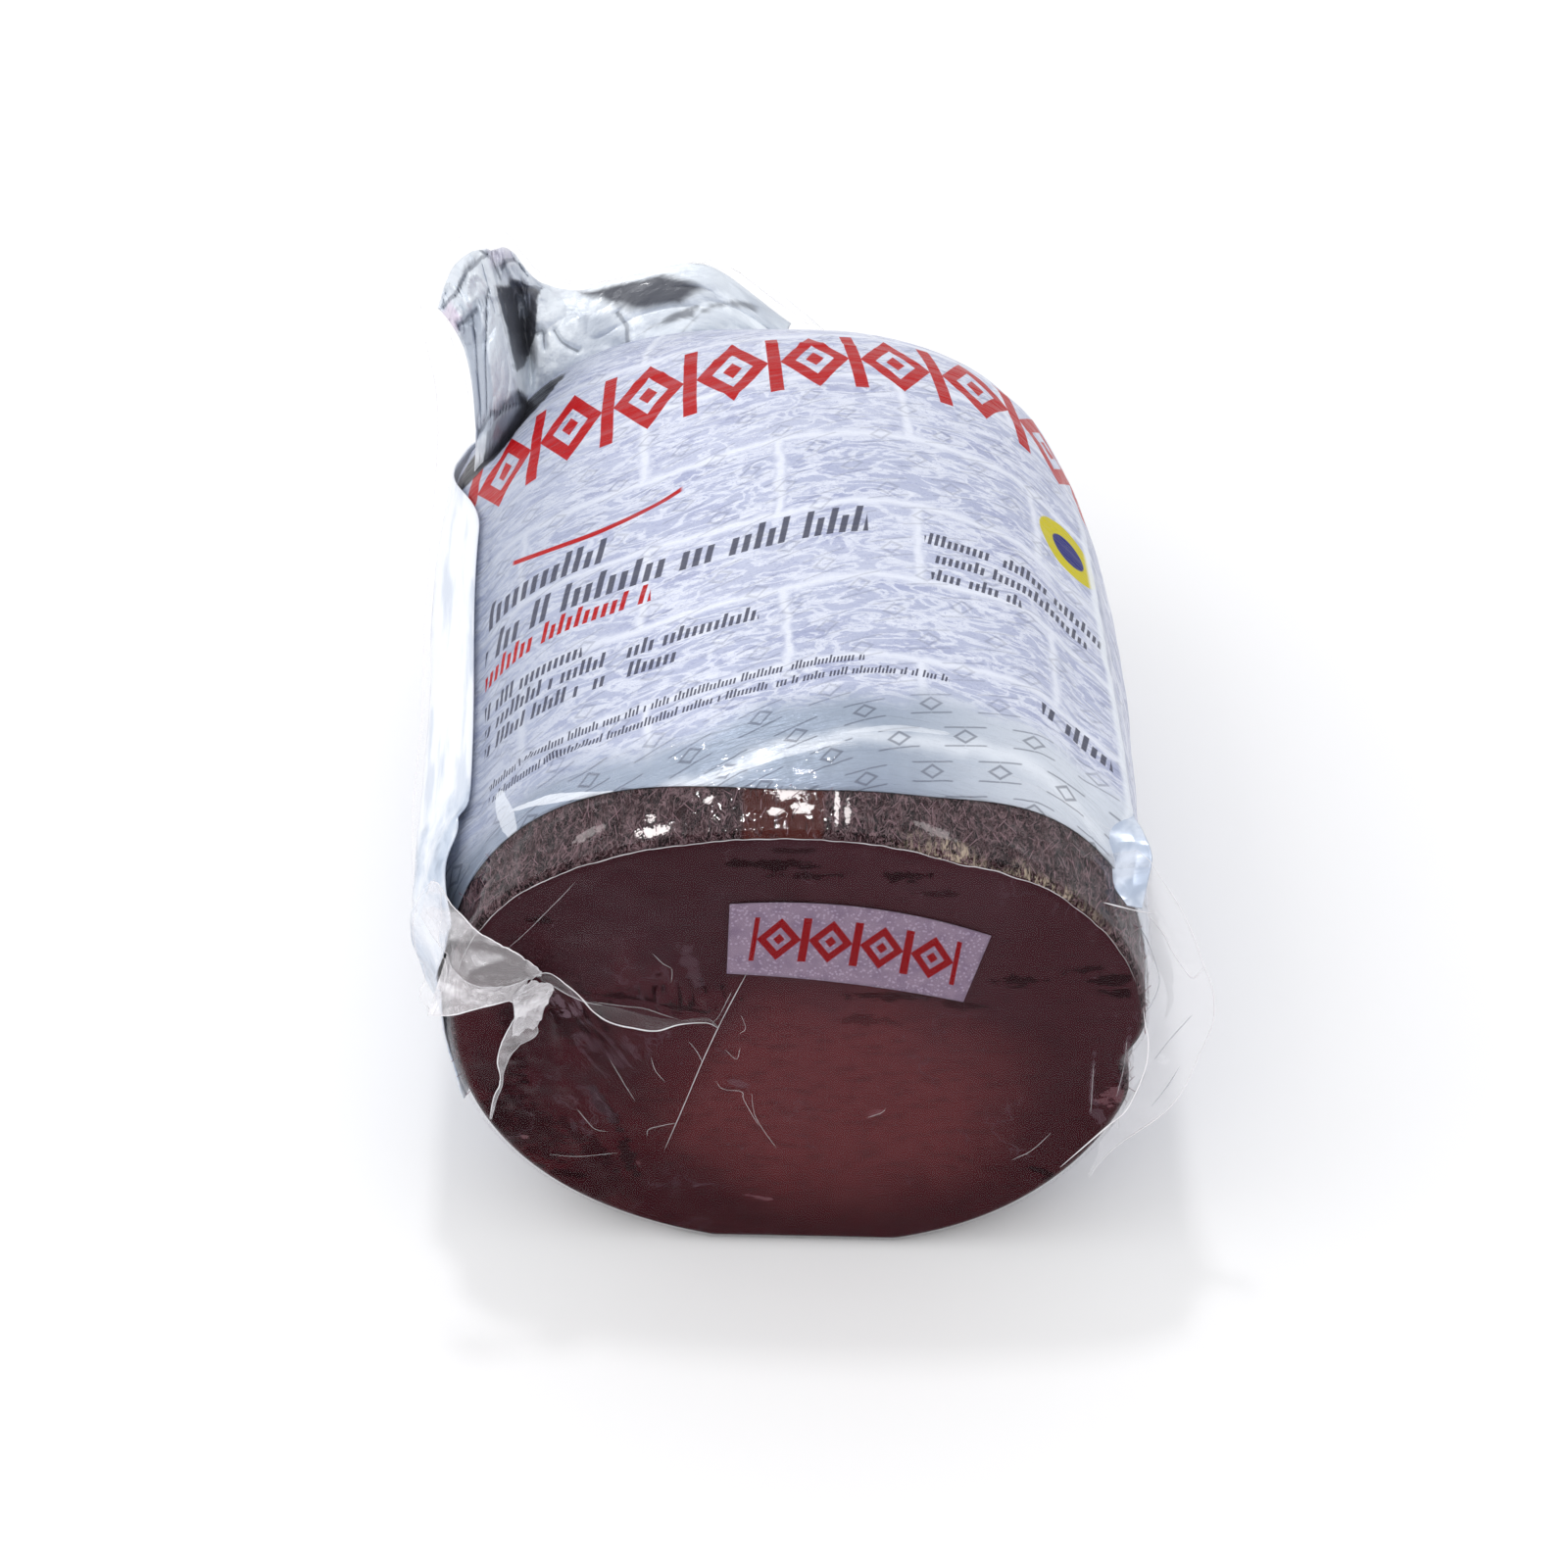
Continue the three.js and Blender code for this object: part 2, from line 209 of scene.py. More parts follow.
@dataclass(frozen=True)
class JointShape:
    """The side of the meat as a formula, and the plane of its cut face."""

    length: float = 200.0
    width: float = 142.0
    height: float = 104.5
    lean: float = math.radians(11.6)
    width_bluntness: float = 4.7
    height_bluntness: float = 5.0
    width_swell: float = 0.07
    height_swell: float = 0.03
    end_lift: float = 0.3
    bend: Point = (-0.4, -5, -6.8)
    rest_flat: float = 1.4
    rim_round: float = 1.6
    quarter_powers: tuple[float, ...] = (2.4, 2.32, 2.02, 2.12)
    lumps: tuple[tuple[float, ...], ...] = ((0.6, 3, 5, 0), (0.35, 5, -11, 1))
    dents: tuple[tuple[float, ...], ...] = ((65, 11, 2, 0.2), (-3, 6, 2.6, 0.12))

    def outline(self, angle: Array) -> Array:
        """Distance of the section's outline from its centre, for half axes of 1."""
        quarter = np.floor(angle / (math.pi / 2)).astype(int) % 4
        power = np.array(self.quarter_powers)[quarter]
        across = np.abs(np.cos(angle)) ** power
        upward = np.abs(np.sin(angle)) ** power
        return (across + upward) ** (-1 / power)

    def unevenness(self, along: Array, angle: Array) -> Array:
        """Lumps and dents together, outward from the smooth body."""
        relief = np.zeros(np.broadcast(along, angle).shape)
        for height, around, onward, phase in self.lumps:
            relief += height * np.sin(around * angle + onward * along + phase)
        for place, spread, depth, reach in self.dents:
            away = turned(np.degrees(angle) - place)
            relief -= depth * hill(away, spread) * np.exp(-along / reach)
        return relief

    def point(self, along: Array, angle: Array) -> Array:
        """Points of the meat's side.

        Args:
            along: from 0 at the cut face to 1 at the rounded end.
            angle: angle round the section, in radians from the right side.

        Returns:
            The points, with a last axis of three.
        """
        along, angle = np.broadcast_arrays(np.asarray(along, float), np.asarray(angle, float))
        narrow = np.maximum(0, 1 - along**self.width_bluntness) ** (1 / self.width_bluntness)
        low = np.maximum(0, 1 - along**self.height_bluntness) ** (1 / self.height_bluntness)
        half_width = self.width / 2 * narrow * (1 + self.width_swell * along)
        half_height = (self.height + self.rest_flat) / 2 * low * (1 + self.height_swell * along)
        radius = self.outline(angle) + self.unevenness(along, angle) * 2 / self.height
        middle = self.bend[0] + self.bend[1] * along + self.bend[2] * along * along
        bottom = self.end_lift * self.height * (1 - low) - self.rest_flat
        x = middle + half_width * radius * np.cos(angle)
        z = np.maximum(0, bottom + half_height + half_height * radius * np.sin(angle))
        y = along * self.length + z * math.tan(self.lean) * (1 - along)
        return np.stack([x, y, z], -1)

    def raised(self, along: Array, angle: Array, height: Array | float) -> Array:
        """Points at a height above the meat's side."""
        step = 1e-3
        around = self.point(along, angle + step) - self.point(along, angle - step)
        back = self.point(np.minimum(along + step, 1), angle)
        back = back - self.point(np.maximum(along - step, 0), angle)
        normal = unit(np.cross(back, around))
        return self.point(along, angle) + normal * np.asarray(height, float)[..., None]

    def on_face(self, x: Array, up: Array, height: Array | float = 0) -> Array:
        """Points on the leaning cut face.

        Args:
            x: distance across.
            up: distance up the leaning face from its lowest edge.
            height: distance out of the face.

        Returns:
            The points, with a last axis of three.
        """
        x, up, height = np.broadcast_arrays(*(np.asarray(a, float) for a in (x, up, height)))
        y = up * math.sin(self.lean) - height * math.cos(self.lean)
        z = up * math.cos(self.lean) + height * math.sin(self.lean)
        return np.stack([x, y, z], -1)

    def rim(self, angle: Array, turn: float) -> Array:
        """A ring of the round between the face and the side, from turn 0 to half pi."""
        inset = self.rim_round * (1 - math.sin(turn))
        along = self.rim_round * (1 - math.cos(turn)) / self.length
        ring = self.point(along, angle)
        centre = np.array([self.bend[0], self.height / 2])
        away = ring[:, [0, 2]] - centre
        away *= 1 - inset / np.linalg.norm(away, axis=1, keepdims=True)
        ring[:, [0, 2]] = centre + away
        ring[:, 1] = along * self.length + ring[:, 2] * math.tan(self.lean) * (1 - along)
        return ring

    def face(self, angle: Array, count: int) -> tuple[Array, Array, Array]:
        """Rings of the cut face.

        Args:
            angle: the angles of a ring's points.
            count: how many rings there are.

        Returns:
            The middle of the face, the rings, and their shares of the way out to the rim.
        """
        middle = self.height / 2
        centre = np.array([self.bend[0], middle * math.tan(self.lean), middle])
        shares = np.linspace(0, 1, count + 1)[1:, None, None]
        return centre, centre + (self.rim(angle, 0) - centre) * shares, shares[..., 0]

    def along_of(self, behind: Array, angle: Array) -> Array:
        """Place along the joint that lies a distance behind the leaning face."""
        slope = self.point(0.05, angle)[..., 2] * math.tan(self.lean)
        return behind / (self.length - slope)

    def girth(self, angle: Array) -> Array:
        """Distance round the middle section from its top, positive to the right."""
        fine = np.linspace(-1.5 * math.pi, 2.5 * math.pi, 6000)
        ring = self.point(0.5, fine)
        arc = np.r_[0, np.cumsum(np.linalg.norm(np.diff(ring, axis=0), axis=1))]
        return np.interp(math.pi / 2, fine, arc) - np.interp(angle, fine, arc)


@dataclass(frozen=True)
class WrapShape:
    """The printed wrap on the meat: its thickness, its ridges and its wavy cut edge."""

    gap: float = 0.35
    skin: float = 1.0
    setback: float = 14.8
    wave: float = 3.0
    skew: float = 1.0
    wave_start: float = math.radians(42)
    flap: Ridge = Ridge(165, 17, 30, 7, 0.5, 0.02, 0.86)
    pleat: Ridge = Ridge(31, 9, 9, 4, 1, 0.08, 0.62)

    def height(self, along: Array, angle: Array) -> Array:
        """Height of the wrap's outside above the meat."""
        ridges = self.flap.lift(along, angle) + self.pleat.lift(along, angle)
        return self.gap + self.skin + ridges

    def edge(self, angle: Array) -> Array:
        """Distance of the cut edge behind the cut face."""
        turn = angle - self.wave_start
        return self.setback + self.wave * np.cos(4 * turn) + self.skew * np.cos(2 * turn)


SHAPE = JointShape()
WRAP = WrapShape()


def row_offset() -> Array:
    """Offset from the joint's own frame to the row frame, in millimetres, read from the CAD meat."""
    low, high = (np.array(corner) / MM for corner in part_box("bresaola"))
    ring = SHAPE.point(np.linspace(0, 0.99, 200)[:, None], np.linspace(0, 2 * math.pi, 400)[None, :])
    middle = (ring[..., 0].min() + ring[..., 0].max()) / 2
    return np.array([(low[0] + high[0]) / 2 - middle, high[1] - SHAPE.length, low[2]])


OFFSET = row_offset()


def to_row(points: Array) -> Array:
    """Turns the joint's millimetres into metres of the row frame, and keeps them above the floor."""
    placed = (np.asarray(points, float) + OFFSET) * MM
    placed[..., 2] = np.maximum(placed[..., 2], FLOOR_GAP * MM)
    return placed


def signed_volume(points: Array, quads: Array) -> float:
    """Volume inside quads, negative where they face inwards."""
    a, b, c, d = (points[quads[:, k]] for k in range(4))
    first = np.einsum("ij,ij->i", a, np.cross(b, c)).sum()
    second = np.einsum("ij,ij->i", a, np.cross(c, d)).sum()
    return float(first + second) / 6


def link_object(name: str, mesh: bpy.types.Mesh) -> Piece:
    """Puts a mesh into the scene under a name."""
    made = bpy.data.objects.new(name, mesh)
    bpy.context.scene.collection.objects.link(made)
    return made


def build_mesh(
    name: str, points: Array, quads: Array, corner_uv: Array, materials: Sequence[Finish],
    slots: Array | None = None,
) -> Piece:
    """Makes a smooth mesh object from quads. A quad whose last two corners agree is a triangle.

    Args:
        name: the object's name.
        points: vertices in the joint's millimetres.
        quads: four vertex numbers for each face.
        corner_uv: film coordinates in millimetres for each corner of each face.
        materials: the materials, in slot order.
        slots: the material slot of each face, or None for the first one.

    Returns:
        The object, with its faces pointing out.
    """
    if signed_volume(points, quads) < 0:
        quads, corner_uv = quads[:, ::-1], corner_uv[:, ::-1]
    faces, uv = [], []
    for face, texture in zip(quads.tolist(), corner_uv.tolist()):
        kept = [k for k in range(4) if face[k] != face[(k + 1) % 4]]
        faces.append([face[k] for k in kept])
        uv.extend(texture[k] for k in kept)
    mesh = bpy.data.meshes.new(name)
    mesh.from_pydata(to_row(points).tolist(), [], faces)
    layer = mesh.uv_layers.new(name="film")
    layer.data.foreach_set("uv", np.asarray(uv, np.float32).ravel())
    mesh.polygons.foreach_set("use_smooth", np.ones(len(faces), bool))
    for material in materials:
        mesh.materials.append(material)
    if slots is not None:
        mesh.polygons.foreach_set("material_index", np.asarray(slots, np.int32))
    mesh.update()
    return link_object(name, mesh)


def loft(
    name: str, rings: Array, uv: Array, tips: tuple[Array, Array], materials: Sequence[Finish],
    row_slots: Sequence[int] | None = None,
) -> Piece:
    """Makes a closed surface through rings, with a point at each end.

    Args:
        name: the object's name.
        rings: vertices, rows by columns by three, each row a closed ring.
        uv: film coordinates with one column more than the rings.
        tips: the first and the last point.
        materials: the materials, in slot order.
        row_slots: the material slot of each band between rings, tips included.

    Returns:
        The mesh object.
    """
    rows, columns = rings.shape[:2]
    points = np.vstack([tips[0][None, :], rings.reshape(-1, 3), tips[1][None, :]])
    last = len(points) - 1
    number = 1 + np.arange(rows)[:, None] * columns + (np.arange(columns + 1) % columns)[None, :]
    number = np.vstack([np.zeros((1, columns + 1), int), number, np.full((1, columns + 1), last)])
    texture = np.concatenate([uv[:1], uv, uv[-1:]])
    quads, corners = cell_corners(number).reshape(-1, 4), cell_corners(texture).reshape(-1, 4, 2)
    slots = None if row_slots is None else np.repeat(np.asarray(row_slots), columns)
    return build_mesh(name, points, quads, corners, materials, slots)


def sheet(name: str, grid: Array, thickness: float, uv: Array, material: Finish) -> Piece:
    """Makes a thin closed sheet along a grid of points.

    Args:
        name: the object's name.
        grid: the middle of the sheet, rows by columns by three.
        thickness: its thickness.
        uv: film coordinates, rows by columns by two.
        material: its material.

    Returns:
        The mesh object.
    """
    half = grid_normals(grid) * thickness / 2
    points = np.vstack([(grid + half).reshape(-1, 3), (grid - half).reshape(-1, 3)])
    layer = grid.shape[0] * grid.shape[1]
    near = np.arange(layer).reshape(grid.shape[:2])
    far = near + layer

    def quads_of(one: Array, two: Array) -> Array:
        """Quads between two rows of vertex numbers."""
        return np.stack([one[:-1], one[1:], two[1:], two[:-1]], -1)

    faces = [quads_of(near[r], near[r + 1]) for r in range(len(near) - 1)]
    faces += [quads_of(far[r + 1], far[r]) for r in range(len(near) - 1)]
    rim = np.concatenate([near[0], near[1:, -1], near[-1, -2::-1], near[-2::-1, 0]])
    faces.append(quads_of(rim + layer, rim))
    quads = np.concatenate(faces)
    return build_mesh(name, points, quads, uv.reshape(-1, 2)[quads % layer], [material])


def ground_sheet(name: str, grid: Array, flipped: bool = False) -> Piece:
    """Makes a single layer of quads that a recipe strews things over, its other side up if flipped."""
    points = grid.reshape(-1, 3)
    quads = cell_corners(np.arange(len(points)).reshape(grid.shape[:2])).reshape(-1, 4)
    if flipped:
        quads = quads[:, [0, 3, 2, 1]]
    mesh = bpy.data.meshes.new(name)
    mesh.from_pydata(to_row(points).tolist(), [], quads.tolist())
    return link_object(name, mesh)


def finish_piece(piece: Piece, slot: Slot, *nodes: str) -> Piece:
    """Attaches a piece to the root body and hides the CAD nodes that it stands for.

    Args:
        piece: the finished object.
        slot: not used.
        nodes: the CAD nodes that it stands for.

    Returns:
        The piece.
    """
    if nodes:
        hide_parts(*nodes)
    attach(piece, "root")
    LOG.info("%s: %d faces", piece.name, len(piece.data.polygons))
    return piece


class Graph:
    """Builds a node tree by short calls."""

    def __init__(self, tree: bpy.types.NodeTree) -> None:
        """Takes the tree to build in."""
        self.nodes = tree.nodes
        self.links = tree.links

    def feed(self, socket: Wire, value: object) -> None:
        """Links a socket to another, or sets its value."""
        if isinstance(value, Wire):
            self.links.new(value, socket)
        elif socket.type == "RGBA":
            socket.default_value = (*value, 1)
        else:
            socket.default_value = value

    def add(self, kind: str, inputs: dict[str | int, object], **settings: object) -> bpy.types.Node:
        """Adds a node with its settings, and its inputs by name or number."""
        node = self.nodes.new(kind)
        for key, value in settings.items():
            setattr(node, key, value)
        for key, value in inputs.items():
            named = [socket for socket in node.inputs if socket.name == key and socket.enabled]
            self.feed(named[0] if named else node.inputs[key], value)
        return node

    def math(self, operation: str, *values: object, clamp: bool = False) -> Wire:
        """One arithmetic step."""
        node = self.add("ShaderNodeMath", dict(enumerate(values)), operation=operation, use_clamp=clamp)
        return node.outputs[0]

    def times(self, first: object, second: object) -> Wire:
        """The product of two values."""
        return self.math("MULTIPLY", first, second)

    def plus(self, first: object, second: object) -> Wire:
        """The sum of two values."""
        return self.math("ADD", first, second)

    def minus(self, first: object, second: object) -> Wire:
        """The first value less the second."""
        return self.math("SUBTRACT", first, second)

    def over(self, first: object, second: object) -> Wire:
        """The first value by the second."""
        return self.math("DIVIDE", first, second)

    def line(self, value: object, slope: object, start: object) -> Wire:
        """A value times a slope, plus a start."""
        return self.math("MULTIPLY_ADD", value, slope, start)

    def size(self, value: object) -> Wire:
        """A value without its sign."""
        return self.math("ABSOLUTE", value)


class ShadeGraph(Graph):
    """One material's nodes, with the colour that its coats have made so far."""

    def __init__(self, name: str) -> None:
        """Starts an empty material."""
        self.material = bpy.data.materials.new(name)
        self.material.use_nodes = True
        super().__init__(self.material.node_tree)
        self.nodes.clear()
        self.output = self.nodes.new("ShaderNodeOutputMaterial")
        self.colour: object = (0, 0, 0)

    def film(self) -> Wire:
        """Film coordinates of the surface, in millimetres."""
        return self.add("ShaderNodeUVMap", {}, uv_map="film").outputs[0]

    def place(self) -> Wire:
        """The joint's own coordinates, in millimetres."""
        metres = self.nodes.new("ShaderNodeTexCoord").outputs["Object"]
        inputs = {0: metres, 1: (1 / MM,) * 3, 2: tuple(-OFFSET)}
        return self.add("ShaderNodeVectorMath", inputs, operation="MULTIPLY_ADD").outputs[0]

    def chance(self, vector: Wire) -> Wire:
        """A random value from 0 to 1 for each vector."""
        return self.add("ShaderNodeTexWhiteNoise", {"Vector": vector}, noise_dimensions="3D").outputs["Value"]

    def split(self, vector: Wire) -> tuple[Wire, ...]:
        """The parts of a vector."""
        return tuple(self.add("ShaderNodeSeparateXYZ", {0: vector}).outputs)

    def join(self, x: object, y: object, z: object = 0) -> Wire:
        """A vector from its parts."""
        return self.add("ShaderNodeCombineXYZ", {0: x, 1: y, 2: z}).outputs[0]

    def scaled(self, vector: Wire, x: float, y: float, z: float = 1.0) -> Wire:
        """A vector stretched along its axes."""
        return self.add("ShaderNodeMapping", {"Vector": vector, "Scale": (x, y, z)}).outputs[0]

    def noise(
        self, vector: Wire, scale: float | tuple[float, ...], detail: float = 2.0, **more: float
    ) -> Wire:
        """Cloudy values from 0 to 1, at one scale or at one for each axis."""
        if isinstance(scale, tuple):
            vector, scale = self.scaled(vector, *scale), 1
        inputs = {"Vector": vector, "Scale": scale, "Detail": detail}
        inputs.update({key.capitalize(): value for key, value in more.items()})
        return self.add("ShaderNodeTexNoise", inputs).outputs[0]

    def cells(self, vector: Wire, scale: float, feature: str = "F1") -> Wire:
        """Distances within cells."""
        node = self.add("ShaderNodeTexVoronoi", {"Vector": vector, "Scale": scale}, feature=feature)
        return node.outputs["Distance"]

    def rise(self, value: object, low: float, high: float) -> Wire:
        """Rises smoothly from 0 at low to 1 at high, or falls where low is above high."""
        inputs = {"Value": value, "From Min": min(low, high), "From Max": max(low, high)}
        inputs.update({"To Min": float(low > high), "To Max": float(high >= low)})
        return self.add("ShaderNodeMapRange", inputs, interpolation_type="SMOOTHSTEP").outputs[0]

    def within(self, value: object, low: float, high: float, soft: float) -> Wire:
        """1 between low and high, with soft edges."""
        enter = self.rise(value, low - soft, low + soft)
        leave = self.rise(value, high + soft, high - soft)
        return self.times(enter, leave)

    def all_of(self, *values: object) -> Wire:
        """The product of masks."""
        product = values[0]
        for value in values[1:]:
            product = self.times(product, value)
        return product

    def any_of(self, *values: object) -> Wire:
        """The largest of masks."""
        largest = values[0]
        for value in values[1:]:
            largest = self.math("MAXIMUM", largest, value)
        return largest

    def mix(self, share: object, first: object, second: object) -> Wire:
        """A colour between two, by a share from 0 to 1."""
        node = self.add("ShaderNodeMix", {}, data_type="RGBA")
        self.feed(node.inputs[0], share)
        self.feed(node.inputs[6], first)
        self.feed(node.inputs[7], second)
        return node.outputs[2]

    def coat(self, colour: object, *masks: object) -> None:
        """Lays a colour over the one so far, where all the masks meet."""
        self.colour = self.mix(self.all_of(*masks), self.colour, colour)

    def lozenges(self, u: object, v: object, pitch: float, height: float) -> Wire:
        """Mask of a row of hollow lozenges with slim bars between them.

        Args:
            u, v: place along the row, and above its middle line.
            pitch: distance from lozenge to lozenge.
            height: height of the row.

        Returns:
            The mask.
        """
        away = self.size(self.line(self.math("FRACT", self.over(u, pitch)), 2, -1))
        level = self.size(self.over(v, height / 2))
        size = self.plus(away, level)
        ring = self.within(size, 0.48, 0.86, 0.012)
        core = self.rise(size, 0.24, 0.21)
        bar = self.times(self.rise(away, 0.83, 0.85), self.rise(level, 0.9, 0.88))
        return self.any_of(ring, core, bar)

    def bump(self, height: object, strength: float, distance: float) -> Wire:
        """A normal tilted by heights."""
        inputs = {"Height": height, "Strength": strength, "Distance": distance}
        return self.add("ShaderNodeBump", inputs).outputs[0]

    def surface(self, **inputs: object) -> Finish:
        """Ends the graph with a Principled surface of the coats' colour. Names use _ for a space."""
        node = self.nodes.new("ShaderNodeBsdfPrincipled")
        self.feed(node.inputs["Base Color"], self.colour)
        for key, value in inputs.items():
            self.feed(node.inputs[key.replace("_", " ")], value)
        self.links.new(node.outputs[0], self.output.inputs["Surface"])
        return self.material


@dataclass(frozen=True)
class Patch:
    """An oval patch of another tone, or a comb of streaks with a spacing."""

    x: float
    y: float
    width: float
    height: float
    strength: float = 1.0
    turn: float = 0.0
    comb: float = 0.0


def patch_mask(g: ShadeGraph, x: object, y: object, patches: Sequence[Patch], rough: object) -> Wire:
    """Mask of patches with uneven edges.

    Args:
        g: the graph to build in.
        x, y: the film coordinates.
        patches: the patches.
        rough: noise about 0 that frays the edges.

    Returns:
        The mask.
    """
    masks = []
    for patch in patches:
        across, upward = g.minus(x, patch.x), g.minus(y, patch.y)
        turn_cos, turn_sin = math.cos(patch.turn), math.sin(patch.turn)
        along = g.plus(g.times(across, turn_cos), g.times(upward, turn_sin))
        over = g.minus(g.times(upward, turn_cos), g.times(across, turn_sin))
        along, over = g.over(along, patch.width / 2), g.over(over, patch.height / 2)
        reach = g.plus(g.times(along, along), g.times(over, over))
        inside = g.rise(g.plus(reach, rough), 1.05, 0.85)
        if patch.comb:
            across = g.times(along, patch.width / 2 / patch.comb)
            streaks = g.noise(g.join(across, g.times(over, patch.height / 12 / patch.comb)), 1, 2)
            inside = g.times(inside, g.rise(streaks, 0.5, 0.62))
        masks.append(g.times(inside, patch.strength))
    return g.any_of(*masks)


@dataclass(frozen=True)
class Facet:
    """A patch of another tone with straight sides, from the corners of its convex outline."""

    corners: tuple[Spot, ...]
    strength: float = 1.0
    soft: float = 0.9


def facet_mask(g: ShadeGraph, x: object, y: object, facets: Sequence[Facet], rough: object) -> Wire:
    """Mask of straight-sided patches.

    Args:
        g: the graph to build in.
        x, y: the film coordinates.
        facets: the patches.
        rough: noise about 0, in millimetres, that shifts the sides.

    Returns:
        The mask.
    """
    masks = []
    for facet in facets:
        spots = np.array(facet.corners)
        depths = []
        for start, end in zip(spots, np.roll(spots, -1, 0)):
            inward = np.array([start[1] - end[1], end[0] - start[0]]) / np.linalg.norm(end - start)
            inward *= np.sign(inward.dot(spots.mean(0) - start))
            level = g.line(y, float(inward[1]), float(-inward.dot(start)))
            depths.append(g.line(x, float(inward[0]), level))
        depth = depths[0]
        for other in depths[1:]:
            depth = g.math("MINIMUM", depth, other)
        inside = g.rise(g.plus(depth, rough), -facet.soft / 2, facet.soft / 2)
        masks.append(g.times(inside, facet.strength))
    return g.any_of(*masks)


